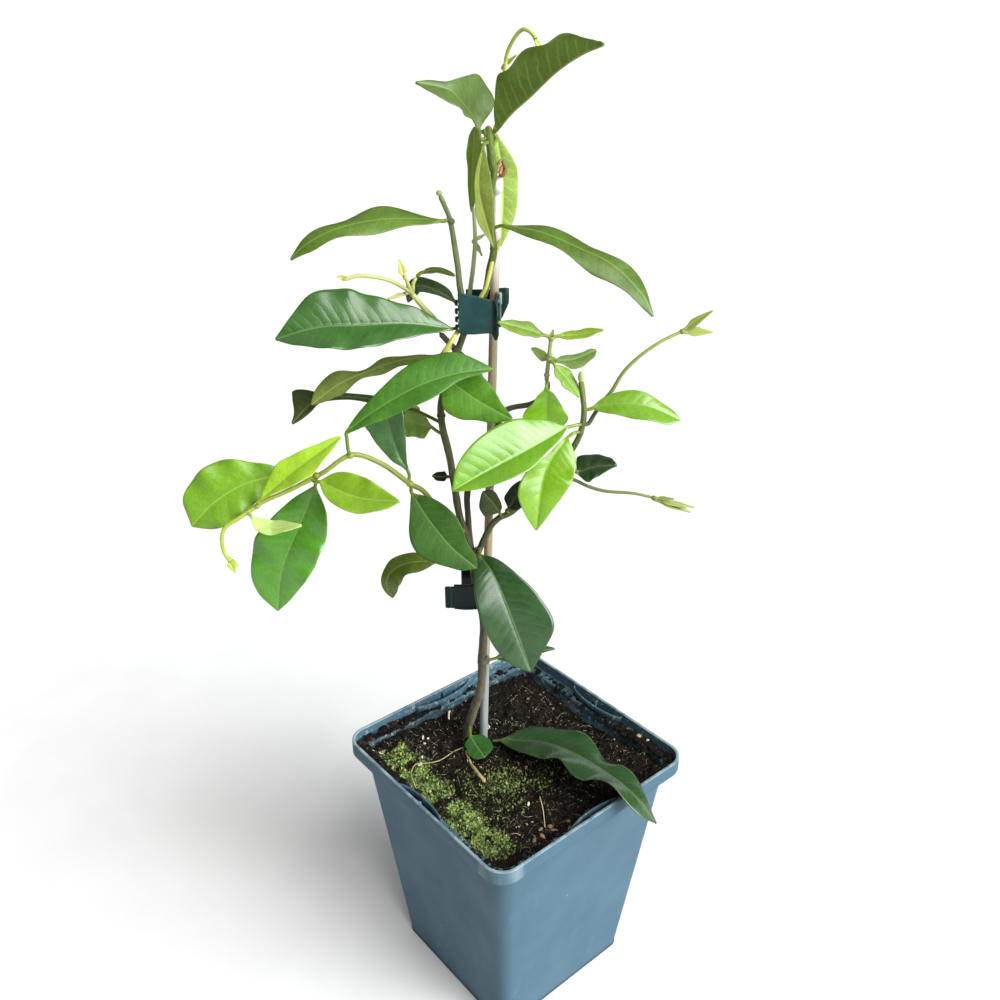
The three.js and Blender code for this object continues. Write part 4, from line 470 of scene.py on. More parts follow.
        (18, -0.6, 223.8), [(16.2, -1.2, 222.7), (12.3, -4, 218.9), (8.9, -7, 213.4), (7.4, -10, 206.4),
        (6.2, -13, 196)], (0.12, -0.9, 0.42), (13, 13), (6, 8.5, 9, 6.5, 3), (1, 2, 6, 7.5, 4), 0.3)),
    "leaf_bright_right": ("leaf_young", "leaf_young", "#659016", "#637322", Blade(
        (22.4, -0.4, 231.6), [(23.6, -0.6, 232.2), (31.9, -1.6, 233.9), (41, -2.8, 233.2),
        (50.3, -4, 229.4)], (0.02, -0.6, 0.8), (6, 6), (3, 4.5, 4.5, 3, 2), (3, 4.5, 5.5, 5, 3.5), 0.5,
        1.6, 0.4)),
    "leaf_dark_right": ("leaf_dark", "leaf_dark", "#173308", "#46590f", Blade(
        (17.6, 5.2, 211.4), [(20.1, 6.6, 206.7), (25.6, 7, 208.7), (33, 6.4, 209.6)], (-0.1, -0.6, 0.8),
        (5, 5), (5, 5, 4.5, 3.5, 2.5), (4.5, 4.5, 4, 2.5, 1), 0.3)),
    # Its near-black upper tone is partly the leaf's own dark green and partly painted shade deep in the
    # plant
    "leaf_dark_inner": ("leaf_dark", "leaf_matte", "#16280e", "#46590f", Blade(
        (-3, 8.2, 192), [(-2.1, 7.6, 193.4), (0.2, 6.6, 197.8), (3.7, 5.4, 204.5)], (-0.5, -0.8, 0.2),
        (8, 8), (3, 3.5, 3.5, 3, 2), (2.5, 3.5, 4.5, 4.5, 3), 0.2)),
    "leaf_olive_inner": ("leaf_dark", "leaf_matte", "#34401a", "#46590f", Blade(
        (-5.2, 7.6, 191.4), [(-5.4, 7, 192.2), (-7, 6.6, 195.2), (-10.8, 6.2, 200.1)], (0.1, -0.9, 0.3),
        (6, 6), (3.5, 5, 5, 4.5, 2.5), (1.5, 2, 2.5, 3, 2.5), 0.2)),
    "leaf_large_lower": ("leaf_dark", "leaf_dark", "#21421a", "#46590f", Blade(
        (-12.2, 5, 178.4), [(-11.9, 3, 178), (-7.8, -2, 174.3), (-3.5, -7, 166.5), (1.2, -11, 154.4),
        (5.3, -14, 142.3)], (0.15, -0.94, 0.3), (8, 8), (3.5, 7, 11, 12.5, 5.5), (5, 8.5, 10, 9, 5.5),
        0.4, 2.2, 0.4)),
    "leaf_low_hidden": ("leaf_dark", "leaf_matte", "#1d3e15", "#46590f", Blade(
        (-8.4, 9.2, 131), [(-6.6, 10.6, 130.6), (2.9, 15, 128.8), (15.3, 19, 128.9)], (0, -0.5, 0.9),
        (8, 8), (2, 2.5, 2.5, 2.5, 1.5), (2, 2.5, 2, 1, 0.5), 0.2)),
    "leaf_on_soil": ("leaf_dark", "leaf_dark", "#21421a", "#46590f", Blade(
        (-8, 9.4, 93.2), [(-5.2, 8.8, 94), (10.2, 2.8, 98.2), (21.9, -6.8, 101), (32.2, -19.1, 103),
        (40.5, -29.2, 102.5), (48.4, -32.9, 93)], (0.1, -0.1, 1), (4, 4), (8.4, 11, 7, 8, 3),
        (8.4, 9.4, 12.6, 7.4, 4.8), 1.6, 3.4, 5, face_tip=(0.7, -0.2, 0.75))),
    "leaf_base_oval": ("leaf_dark", "leaf_matte", "#244f1a", "#46590f", Blade(
        (-16.6, 10, 98), [(-16.3, 8.6, 96.2), (-13.5, 4.4, 94.2), (-10.8, 0.4, 93)], (0, -0.4, 0.9),
        (3, 3), (4, 5, 5.5, 5, 4), (3.5, 4, 4.5, 4, 3), 0.1)),
    "leaf_young_edge_on": ("leaf_olive", "leaf_matte", "#46590f", "#46590f", Blade(
        (-29.2, 11.8, 271), [(-28.4, 12, 271.2), (-24, 13, 271.6), (-18.8, 12.6, 270)],
        (0.1, -0.25, 0.96), (10, 10), (1.3, 1.4, 1.4, 1.3, 1), (2, 2.5, 2.5, 2, 1.5), 0.1)),
}


# Settings that a user would change


def colour_setting(name, about, default):
    return FloatVectorProperty(
        name=name, description=about, subtype="COLOR", default=default, min=0, max=1)


def length_setting(name, about, default, low, high):
    return FloatProperty(
        name=name, description=about, unit="LENGTH", subtype="DISTANCE", default=default, min=low,
        max=high)


def count_setting(name, about, default, low, high):
    return IntProperty(name=name, description=about, default=default, min=low, max=high)


def strength_setting(name, about, default):
    return FloatProperty(name=name, description=about, default=default, min=0)


class PotSettings(bpy.types.PropertyGroup):
    """The pot's plastic."""

    colour: colour_setting("Plastic", "Blue-grey plastic of the pot", (0.056, 0.114, 0.156))
    worn: colour_setting("Worn edge", "Pale worn plastic along the rim", (0.3, 0.38, 0.4))
    corner_steps: count_setting("Corner steps", "Faces round each corner", 12, 4, 32)
    edge_round: length_setting("Edge round", "Radius of the rim's edges", 0.00035, 0.0001, 0.001)


class SoilSettings(bpy.types.PropertyGroup):
    """The peat and what lies and grows on it."""

    peat: colour_setting("Peat", "Damp peat", (0.0065, 0.005, 0.004))
    dry: colour_setting("Dry peat", "Dry crumbs", (0.022, 0.016, 0.011))
    moss: colour_setting("Moss", "Tips of the moss", (0.235, 0.335, 0.085))
    crumbs: count_setting("Crumbs", "Loose crumbs of peat", 2600, 100, 6000)
    moss_shoots: count_setting("Moss shoots", "Shoots of moss", 9000, 100, 20000)
    moss_cushions: count_setting("Moss cushions", "Small lumps in the moss", 1500, 0, 5000)
    fibres: count_setting("Fibres", "Fine fibres", 800, 10, 1500)


class StemSettings(bpy.types.PropertyGroup):
    """Cane and clips."""

    cane: colour_setting("Cane", "Dry bamboo", (0.3, 0.235, 0.14))
    clip: colour_setting("Clip", "Dark green plastic", (0.011, 0.05, 0.047))


class LeafSettings(bpy.types.PropertyGroup):
    """The leaf blades."""

    thickness: length_setting(
        "Thickness", "Thickness of a blade beside its midrib", 0.0004, 0.0002, 0.001)
    vein_gap: length_setting("Vein gap", "Distance between side veins", 0.003, 0.002, 0.01)
    puff: length_setting("Puff", "Height of the blade between two side veins", 0.00006, 0, 0.001)


class StageSettings(bpy.types.PropertyGroup):
    """Floor, camera and lights."""

    floor: colour_setting("Floor", "Pale floor", (0.74, 0.74, 0.74))
    lens: FloatProperty(
        name="Lens", description="Focal length on a 36 mm sensor, in millimetres", default=35.4,
        min=10, max=200)
    window: strength_setting("Window light", "Strength of the soft light high in front", 3.0)
    side: strength_setting("Side light", "Strength of the soft light on the right", 4.6)
    overhead: strength_setting("Overhead light", "Strength of the wide light overhead", 0.8)
    fill: strength_setting("Fill light", "Strength of the light all round", 0.14)


# Curves and surfaces


def unit(vectors):
    return vectors / np.linalg.norm(vectors, axis=-1, keepdims=True)


def full_turn(sides):
    """Equally spaced angles round a circle."""
    return 2 * np.pi * (np.arange(sides) / sides)


def to_row(points):
    """The plant's frame turned about Z into the pot's, in which the mesh is made."""
    points = np.asarray(points, float)
    cos, sin = math.cos(PLANT_TURN), math.sin(PLANT_TURN)
    x, y, z = points[..., 0], points[..., 1], points[..., 2]
    return np.stack([cos * x - sin * y, sin * x + cos * y, z], -1)


def cubic(t, low, high, slope_low, slope_high):
    """The cubic from low to high with the given slopes at its ends."""
    start = (2 * t**3 - 3 * t**2 + 1) * low + (t**3 - 2 * t**2 + t) * slope_low
    return start + ((3 * t**2 - 2 * t**3) * high + (t**3 - t**2) * slope_high)


def smooth(points, u):
    """Points and directions on the smooth curve through the given points: on each span a cubic
    whose slope at a point is half the way between the points on either side of it."""
    p = np.asarray(points, float)
    q = np.vstack([2 * p[0] - p[1], p, 2 * p[-1] - p[-2]])
    t = np.asarray(u, float) * (len(p) - 1)
    k = np.clip(np.floor(t).astype(int), 0, len(p) - 2)
    w = (t - k)[:, None]
    before, low, high, after = q[k], q[k + 1], q[k + 2], q[k + 3]
    slope_low, slope_high = 0.5 * (high - before), 0.5 * (after - low)
    way = (6 * w**2 - 6 * w) * low + (3 * w**2 - 4 * w + 1) * slope_low
    way += (6 * w - 6 * w**2) * high + (3 * w**2 - 2 * w) * slope_high
    return cubic(w, low, high, slope_low, slope_high), unit(way)


def even_steps(points, step):
    """Parameters of the smooth curve at equal steps of its length, and the lengths there."""
    fine = np.linspace(0, 1, 60 * len(points))
    place, _ = smooth(points, fine)
    run = np.concatenate([[0], np.cumsum(np.linalg.norm(np.diff(place, axis=0), axis=1))])
    count = max(int(run[-1] / step), 3) + 1
    length = np.linspace(0, run[-1], count)
    return np.interp(length, run, fine), length


def lattice_noise(x, y, seed):
    """Smooth noise from 0 to 1: random values on a square lattice, blended by cubic weights."""
    size = 64
    values = np.random.default_rng(seed).random((size, size))
    i, j = np.floor(x).astype(int), np.floor(y).astype(int)
    a, b = x - i, y - j
    a, b = a * a * (3 - 2 * a), b * b * (3 - 2 * b)
    i, j, right, above = i % size, j % size, (i + 1) % size, (j + 1) % size
    low = values[i, j] * (1 - a) + values[right, j] * a
    high = values[i, above] * (1 - a) + values[right, above] * a
    return low * (1 - b) + high * b


def ring_walls(rows, cols):
    """Four-cornered faces of a grid whose columns close on themselves."""
    index = np.arange(rows * cols).reshape(rows, cols)
    right = np.roll(index, -1, axis=1)
    return np.stack([index[:-1], right[:-1], right[1:], index[1:]], -1).reshape(-1, 4)


class Skin:
    """Vertices, faces and per-vertex values of one piece, gathered from its surfaces."""

    def __init__(self):
        self.points, self.quads, self.tris, self.spots, self.tones = [], [], [], [], []
        self.count = 0

    def add(self, points, quads, tris, spots, tones):
        """Adds one closed surface, turned where needed so that its faces look outward."""
        corners = np.vstack([quads[:, :3], quads[:, [0, 2, 3]], tris])
        first, second, third = (points[corners[:, k]] - points.mean(0) for k in range(3))
        if (first * np.cross(second, third)).sum() < 0:
            quads, tris = quads[:, ::-1], tris[:, ::-1]
        self.points.append(points)
        self.quads.append(quads + self.count)
        self.tris.append(tris + self.count)
        self.spots.append(np.broadcast_to(np.asarray(spots, float), points.shape))
        self.tones.append(np.broadcast_to(tones, points.shape))
        self.count += len(points)

    def add_many(self, shapes, quads, tris, tones):
        """Adds many closed surfaces of one layout. Each has a row of points and one of tones."""
        count, size = shapes.shape[:2]
        first = (np.arange(count) * size)[:, None, None]
        tones = np.broadcast_to(tones, shapes.shape).reshape(-1, 3)
        self.add(shapes.reshape(-1, 3), (quads + first).reshape(-1, 4), (tris + first).reshape(-1, 3),
                 (0, 0, 0), tones)

    def add_wrapped(self, grid, spots=(0, 0, 0), tones=(1, 1, 1)):
        """Adds a grid of points whose columns close, each end closed over the mean of its ring."""
        rows, cols = grid.shape[:2]
        hub, ring = rows * cols, np.arange(cols)
        start = np.stack([np.full(cols, hub), np.roll(ring, -1), ring], -1)
        last = hub - cols + ring
        end = np.stack([np.full(cols, hub + 1), last, np.roll(last, -1)], -1)
        points, spots, tones = (
            np.vstack([values.reshape(-1, 3), values[0].mean(0), values[-1].mean(0)])
            for values in (grid, np.broadcast_to(spots, grid.shape), np.broadcast_to(tones, grid.shape)))
        self.add(points, ring_walls(rows, cols), np.vstack([start, end]), spots, tones)

    def make(self, name, material, slot, node=None, smooth_faces=True):
        """Puts the surfaces into one mesh that rides on the part and stands for its node."""
        points = np.vstack(self.points) * MM
        quads, tris = np.vstack(self.quads), np.vstack(self.tris)
        mesh = bpy.data.meshes.new(name)
        mesh.vertices.add(len(points))
        mesh.vertices.foreach_set("co", points.ravel())
        corners = np.concatenate([quads.ravel(), tris.ravel()])
        starts = np.concatenate([4 * np.arange(len(quads)), 4 * len(quads) + 3 * np.arange(len(tris))])
        mesh.loops.add(len(corners))
        mesh.loops.foreach_set("vertex_index", corners)
        mesh.polygons.add(len(starts))
        mesh.polygons.foreach_set("loop_start", starts)
        mesh.polygons.foreach_set("use_smooth", np.full(len(starts), smooth_faces))
        mesh.update(calc_edges=True)
        mesh.validate()
        spot = mesh.attributes.new("spot", "FLOAT_VECTOR", "POINT")
        spot.data.foreach_set("vector", np.vstack(self.spots).ravel())
        tone = mesh.attributes.new("tone", "FLOAT_COLOR", "POINT")
        tones = np.vstack(self.tones)
        tone.data.foreach_set("color", np.column_stack([tones, np.ones(len(tones))]).ravel())
        mesh.materials.append(material)
        piece = bpy.data.objects.new(name, mesh)
        bpy.context.scene.collection.objects.link(piece)
        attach(piece, "root")
        if node:
            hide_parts(node)
        return piece


def along_and_round(along, around, share):
    """Spots of a long skin: the length along it, the turn round it and the share of its length."""
    return np.stack(np.broadcast_arrays(along[:, None], around[None] * 10, share[:, None]), -1)


def tube(skin, route, radii, tones, sides=STEM_SIDES, step=STEM_STEP, rough=0.0, seed=0, plant=True):
    """A round skin along a smooth route. Its radius goes evenly from one end to the other, times
    low ridges along the grain and slow swellings. Both ends are domed."""
    u, length = even_steps(route, step)
    centre, way = smooth(route, u)
    side = unit(np.cross(way, np.broadcast_to([0.13, 0.97, 0.2], way.shape)))
    up = np.cross(side, way)
    share = length / length[-1]
    around = np.arange(sides) / sides
    turn = full_turn(sides)
    radius = radii[0] + (radii[1] - radii[0]) * share
    to_end = np.minimum(length, length[-1] - length)
    dome = np.sqrt(np.clip(1 - (1 - np.minimum(to_end / radius, 1)) ** 2, 0.05, 1))
    grain = lattice_noise(around[None] * 11 + 0 * share[:, None], length[:, None] / 6, seed) - 0.5
    swell = lattice_noise(length[:, None] / 3.1, 0 * around[None] + 0.5, seed + 1) - 0.5
    reach = (radius * dome)[:, None] * (1 + rough * (grain + 0.7 * swell))
    grid = centre[:, None] + reach[..., None] * (
        side[:, None] * np.cos(turn)[None, :, None] + up[:, None] * np.sin(turn)[None, :, None])
    low, high = (np.array(tone) for tone in tones)
    colours = low + (high - low) * share[:, None, None]
    skin.add_wrapped(to_row(grid) if plant else grid, along_and_round(length, around, share),
                     np.broadcast_to(colours, grid.shape))


def ball(skin, centre, radii, tone, sides=12, rings=8):
    """A closed rounded lump: the radius of each ring follows a half circle."""
    polar = np.linspace(0.12, np.pi - 0.12, rings)
    turn = full_turn(sides)
    grid = np.stack(np.broadcast_arrays(
        radii[0] * np.sin(polar)[:, None] * np.cos(turn),
        radii[1] * np.sin(polar)[:, None] * np.sin(turn),
        -radii[2] * np.cos(polar)[:, None]), -1) + np.asarray(centre, float)
    skin.add_wrapped(to_row(grid), tones=np.array(tone))


def knot(skin, at, radius, tone):
    """A swollen node of a stem, a little flat."""
    ball(skin, at, (0.85 * radius, 0.85 * radius, 0.75 * radius), tone)


# Materials


def linear(text):
    """A colour given as six hexadecimal digits, as linear red, green and blue."""
    value = np.array([int(text[i:i + 2], 16) / 255 for i in (1, 3, 5)])
    return np.where(value <= 0.04045, value / 12.92, ((value + 0.055) / 1.055) ** 2.4)


def darker(colour, share):
    return tuple(share * channel for channel in colour)


RANGE = ("From Min", "From Max", "To Min", "To Max")


class Finish:
    """A material's nodes, with a short call for each kind that is used."""

    def __init__(self, name, **sockets):
        self.material = bpy.data.materials.new(name)
        self.material.use_nodes = True
        self.tree = self.material.node_tree
        self.shader = self.tree.nodes["Principled BSDF"]
        for socket, value in sockets.items():
            self.shader.inputs[socket.replace("_", " ")].default_value = value
        self.place = self.node("TexCoord").outputs["Object"]

    def node(self, kind, settings=None, **inputs):
        node = self.tree.nodes.new("ShaderNode" + kind)
        for key, value in (settings or {}).items():
            setattr(node, key, value)
        for key, value in inputs.items():
            name = int(key[1:]) if key[0] == "i" and key[1:].isdigit() else key.replace("_", " ")
            self.feed(node.inputs[name], value)
        return node

    def feed(self, socket, value):
        if isinstance(value, bpy.types.NodeSocket):
            self.tree.links.new(value, socket)
        else:
            socket.default_value = value

    def attribute(self, name, output):
        return self.node("Attribute", {"attribute_name": name}).outputs[output]

    def tone(self):
        return self.attribute("tone", "Color")

    def spot(self):
        return self.split(self.attribute("spot", "Vector"))

    def split(self, vector):
        node = self.node("SeparateXYZ", Vector=vector)
        return node.outputs["X"], node.outputs["Y"], node.outputs["Z"]

    def math(self, operation, a, b=0.0):
        return self.node("Math", {"operation": operation}, i0=a, i1=b).outputs[0]

    def times(self, a, b):
        return self.math("MULTIPLY", a, b)

    def noise(self, scale, detail=3.0, roughness=0.55, vector=None):
        vector = self.place if vector is None else vector
        node = self.node("TexNoise", Vector=vector, Scale=scale, Detail=detail, Roughness=roughness)
        return node.outputs["Fac"]

    def grain(self, along, around, stretch, scale, roughness):
        """Noise drawn out along a stem."""
        vector = self.node("CombineXYZ", X=self.times(along, stretch), Y=around).outputs["Vector"]
        return self.noise(scale, 5, roughness, vector)

    def cells(self, scale):
        return self.node("TexVoronoi", Vector=self.place, Scale=scale).outputs

    def band(self, value, low, high, out_low=0.0, out_high=1.0):
        """A smooth step of a value from low to high."""
        node = self.node("MapRange", {"interpolation_type": "SMOOTHSTEP"}, Value=value)
        for name, number in zip(RANGE, (low, high, out_low, out_high)):
            node.inputs[name].default_value = number
        return node.outputs["Result"]

    def mix(self, factor, a, b, blend="MIX"):
        node = self.node("Mix", {"data_type": "RGBA", "blend_type": blend}, i0=factor)
        for socket, value in ((node.inputs[6], a), (node.inputs[7], b)):
            if not isinstance(value, bpy.types.NodeSocket):
                value = (*value, 1.0)
            self.feed(socket, value)
        return node.outputs[2]

    def scaled(self, colour, factor):
        """A colour times a factor that varies over the surface."""
        return self.node("VectorMath", {"operation": "SCALE"}, i0=colour, Scale=factor).outputs[0]

    def mottled(self, colour, pattern, low, high, share):
        """A colour made darker and lighter by a share of itself, by a pattern."""
        return self.scaled(colour, self.band(pattern, low, high, 1 - share, 1 + share))

    def finish(self, colour, roughness, height=None, distance=0.0003, strength=0.5):
        self.feed(self.shader.inputs["Base Color"], colour)
        self.feed(self.shader.inputs["Roughness"], roughness)
        if height is not None:
            bump = self.node("Bump", Height=height, Distance=distance, Strength=strength)
            self.feed(self.shader.inputs["Normal"], bump.outputs["Normal"])
        return self.material


def pot_plastic(settings):
    """Moulded plastic: faint blotches, a pale worn line along the rim, a painted highlight down the
    front corner, dusty smears, lime specks, a painted shadow under the rim, painted shade at the foot
    and, inside, lime and splashed soil. The spot attribute is 1 inside."""
    finish = Finish("jasmine_pot_plastic", Specular_IOR_Level=0.12)
    band, noise, times, mix = finish.band, finish.noise, finish.times, finish.mix
    x, y, z = finish.split(finish.place)
    inner, _, _ = finish.spot()
    blotch = noise(45, 4)
    colour = mix(band(blotch, 0.3, 0.75, 0, 0.35), settings.colour, darker(settings.colour, 0.72))
    stretched = finish.node("Mapping", Vector=finish.place, Scale=(90, 90, 14)).outputs[0]
    drawn = noise(1.0, 5, 0.7, stretched)
    smear = times(band(drawn, 0.55, 0.75), band(noise(28, 3), 0.5, 0.68))
    colour = mix(times(smear, 0.2), colour, settings.worn)
    dots = times(band(finish.cells(380)["Distance"], 0.2, 0.1), band(noise(110, 3), 0.64, 0.74))
    colour = mix(times(dots, 0.4), colour, LIME_SPECKS)
    # Pale streaky strip down the front corner: painted highlight where the corner turns towards the
    # light
    corner = finish.math("SUBTRACT", times(finish.math("ADD", x, y), -1), times(z, CORNER_LEAN))
    corner_highlight = times(band(corner, 0.0585, 0.0608), band(drawn, 0.4, 0.62, 0.05, 0.4))
    colour = mix(corner_highlight, colour, CORNER_HIGHLIGHT)
    rim = band(z, (POT_HEIGHT - 0.4) * MM, (POT_HEIGHT - 0.05) * MM)
    colour = mix(times(rim, band(noise(200, 4), 0.35, 0.6, 0.2, 0.75)), colour, settings.worn)
    # Dark band just under the rim: painted shadow of the rim's overhang
    under = times(band(z, (SHOULDER_Z - 3) * MM, (SHOULDER_Z - 0.3) * MM),
                  band(z, (SHOULDER_Z + 0.5) * MM, (SHOULDER_Z + 0.1) * MM))
    colour = mix(times(under, 0.55), colour, RIM_SHADOW)
    # Darker towards the foot: painted shade where the pot meets the floor
    colour = mix(band(z, 2.2 * MM, 1.2 * MM, 0, 0.6), colour, FOOT_SHADOW)
    lime = times(inner, band(noise(520, 5, 0.7), 0.53, 0.66, 0, 0.75))
    colour = mix(lime, colour, LIME_FILM)
    low = band(z, (SOIL_TOP + 7) * MM, (SOIL_TOP - 1) * MM, 0.1, 1.0)
    dirt = times(times(inner, band(noise(300, 5, 0.7), 0.5, 0.6)), low)
    colour = mix(dirt, colour, SPLASHED_PEAT)
    return finish.finish(colour, band(blotch, 0.2, 0.8, 0.42, 0.56), noise(700, 4, 0.65), 0.00012, 0.2)


def leaf_finish(name, gloss, vein, mottle, specular, coat):
    """A leaf's blade: its own tone in soft blotches, a thin pale midrib and faint side veins that
    sweep towards the tip, clearer underneath. The spot attribute holds the vein count along the
    blade, the distance from the midrib in millimetres and the share of the half width, which has 2
    added on the underside."""
    finish = Finish(name, Specular_IOR_Level=specular, Coat_Weight=coat, Coat_Roughness=0.16)
    band, times, mix = finish.band, finish.times, finish.mix
    tone = finish.tone()
    count, across, share = finish.spot()
    across = finish.math("ABSOLUTE", across)
    below = band(share, 1.4, 1.6)
    share = finish.math("SUBTRACT", share, times(below, 2))
    blotch, cells = finish.noise(150, 4), finish.noise(1400, 3)
    colour = finish.mottled(tone, blotch, 0.25, 0.75, mottle)
    colour = finish.mottled(colour, cells, 0.3, 0.7, 0.7 * mottle)
    wander = times(finish.math("SUBTRACT", finish.noise(260, 2), 0.5), 0.7)
    near = finish.math("PINGPONG", finish.math("ADD", count, wander), 0.5)
    side_vein = times(times(band(near, 0.16, 0.02), band(share, 0.95, 0.55)), band(across, 0.1, 0.6))
    pale = mix(0.3, finish.scaled(tone, 1.5), PALE_VEIN)
    colour = mix(times(side_vein, band(below, 0, 1, 0.14 * vein, 0.8 * vein)), colour, pale)
    colour = mix(times(band(across, 0.4, 0.12), band(below, 0, 1, vein, 1.0)), colour, pale)
    edge = times(band(share, 0.955, 0.995), band(blotch, 0.35, 0.6, 0.05, 0.4))
    colour = mix(edge, colour, pale)
    roughness = band(blotch, 0.2, 0.8, gloss - 0.06, gloss + 0.08)
    height = finish.math("ADD", times(cells, 0.5), times(side_vein, -0.35))
    return finish.finish(colour, roughness, height, 0.00014, 0.45)


def bark_finish(name, roughness, streak, relief):
    """Bark: its own tone with streaks along the grain, pale pores and fine cracks. The spot
    attribute holds the length along the stem and the turn round it."""
    finish = Finish(name, Specular_IOR_Level=0.35)
    band = finish.band
    tone = finish.tone()
    along, around, _ = finish.spot()
    grain = finish.grain(along, around, 0.25, 1.6, 0.65)
    blotch = finish.noise(320, 4)
    colour = finish.mottled(tone, grain, 0.3, 0.72, streak)
    pores = finish.times(band(finish.cells(900)["Distance"], 0.22, 0.1), band(blotch, 0.5, 0.65, 0, 0.6))
    colour = finish.mix(pores, colour, finish.scaled(tone, 2.1))
    height = finish.math("ADD", grain, finish.times(blotch, 0.6))
    rough = band(blotch, 0.2, 0.8, roughness - 0.08, roughness + 0.08)
    return finish.finish(colour, rough, height, relief, 0.6)


def cane_finish(settings):
    """Bamboo: grey-blue and damp at the foot, dry tan above, near white towards the top as a painted
    highlight, with fine streaks along it and dark rings at its nodes."""
    finish = Finish("jasmine_bamboo", Specular_IOR_Level=0.35)
    band, mix = finish.band, finish.mix
    _, _, z = finish.split(finish.place)
    along, around, _ = finish.spot()
    grain = finish.grain(along, around, 0.02, 2.2, 0.7)
    foot = finish.times(band(z, 0.15, 0.108), 0.9)
    colour = mix(foot, settings.cane, DAMP_CANE)
    # Near-white band towards the top: painted highlight where the cane's face catches the light
    colour = mix(band(z, 0.262, 0.281), colour, CANE_TOP_HIGHLIGHT)
    colour = mix(1.0, colour, finish.tone(), "MULTIPLY")
    colour = finish.scaled(colour, band(grain, 0.3, 0.7, 0.72, 1.18))
    colour = mix(band(finish.noise(90, 4), 0.58, 0.75, 0, 0.5), colour, CANE_STAIN)
    return finish.finish(colour, band(grain, 0.3, 0.7, 0.5, 0.68), grain, 0.0002, 0.5)


def clip_plastic(settings):
    """Glossy dark green moulded plastic with faint flow marks and a little dust."""
    finish = Finish("jasmine_clip_plastic", Specular_IOR_Level=0.2)
    blotch = finish.noise(260, 4)
    dust = finish.band(finish.noise(1500, 3, 0.7), 0.62, 0.72, 0, 0.2)
    colour = finish.mix(finish.band(blotch, 0.3, 0.7), settings.clip, darker(settings.clip, 0.7))
    colour = finish.mix(dust, colour, CLIP_DUST)
    colour = finish.mix(1.0, colour, finish.tone(), "MULTIPLY")
    return finish.finish(colour, finish.band(blotch, 0.2, 0.8, 0.2, 0.34), blotch, 0.0001, 0.2)


def peat_finish(settings):
    """Damp peat: near black, with red-brown crumbs, tan specks and a rough broken surface."""
    finish = Finish("jasmine_peat", Specular_IOR_Level=0.12)
    band, mix = finish.band, finish.mix
    lumps = finish.noise(420, 6, 0.7)
    grit = finish.cells(1500)
    colour = mix(band(lumps, 0.42, 0.72), settings.peat, settings.dry)
    colour = mix(band(finish.noise(55, 3), 0.5, 0.7, 0, 0.6), colour, settings.peat)
    speck = finish.math("GREATER_THAN", finish.split(grit["Color"])[0], 0.955)
    speck = finish.times(speck, band(grit["Distance"], 0.4, 0.2))
    colour = mix(finish.times(speck, 0.7), colour, PEAT_SPECKS)
    colour = mix(1.0, colour, finish.tone(), "MULTIPLY")
    return finish.finish(colour, band(lumps, 0.3, 0.8, 0.7, 0.95), lumps, 0.0012, 0.9)


def grown_finish(name, roughness, mottle):
    """Moss, fibres and crumbs: each one's own tone, broken by fine noise."""
    finish = Finish(name, Specular_IOR_Level=0.15)
    grain = finish.noise(1300, 4, 0.65)
    colour = finish.mottled(finish.tone(), grain, 0.3, 0.7, mottle)
    rough = finish.band(grain, 0.2, 0.8, roughness - 0.1, roughness + 0.1)
    return finish.finish(colour, rough, grain, 0.0003, 0.6)


# Pot


def body_half(z):
    """Half width of the pot's tapering body at a height."""
    return BASE_HALF + (RIM_HALF - SHOULDER - BASE_HALF) * np.asarray(z, float) / SHOULDER_Z


def rounded_square(half, corner, z, corner_steps, side_steps=8):
    """A square ring with round corners: straight sides in equal steps, and quarter circles."""
    quarter = np.linspace(0, np.pi / 2, corner_steps + 1)
    arc = (half - corner) + corner * np.stack([np.cos(quarter), np.sin(quarter)], -1)
    side = np.linspace(half - corner, corner - half, side_steps + 1)[1:-1]
    edge = np.stack([side, np.full_like(side, half)], -1)
    piece = np.vstack([arc, edge])
    turns = [np.array([[c, s], [-s, c]]) for c, s in ((1, 0), (0, 1), (-1, 0), (0, -1))]
    ring = np.vstack([piece @ turn for turn in turns])
    return np.column_stack([ring, np.full(len(ring), z)])


def rounded_profile(corners, radius):
    """The pot's profile with each corner rounded: rows of half width, corner radius and height,
    in which a corner becomes a short curve between two points beside it."""
    rows = [corners[0]]
    for before, here, after in zip(corners, corners[1:], corners[2:]):
        ends = []
        for other in (before, after):
            span = np.hypot(*(other - here)[[0, 2]])
            ends.append(here + (other - here) * min(radius, 0.45 * span) / max(span, 1e-6))
        for t in (0, 0.35, 0.65, 1):
            rows.append((1 - t) ** 2 * ends[0] + 2 * t * (1 - t) * here + t * t * ends[1])
    rows.append(corners[-1])
    return rows


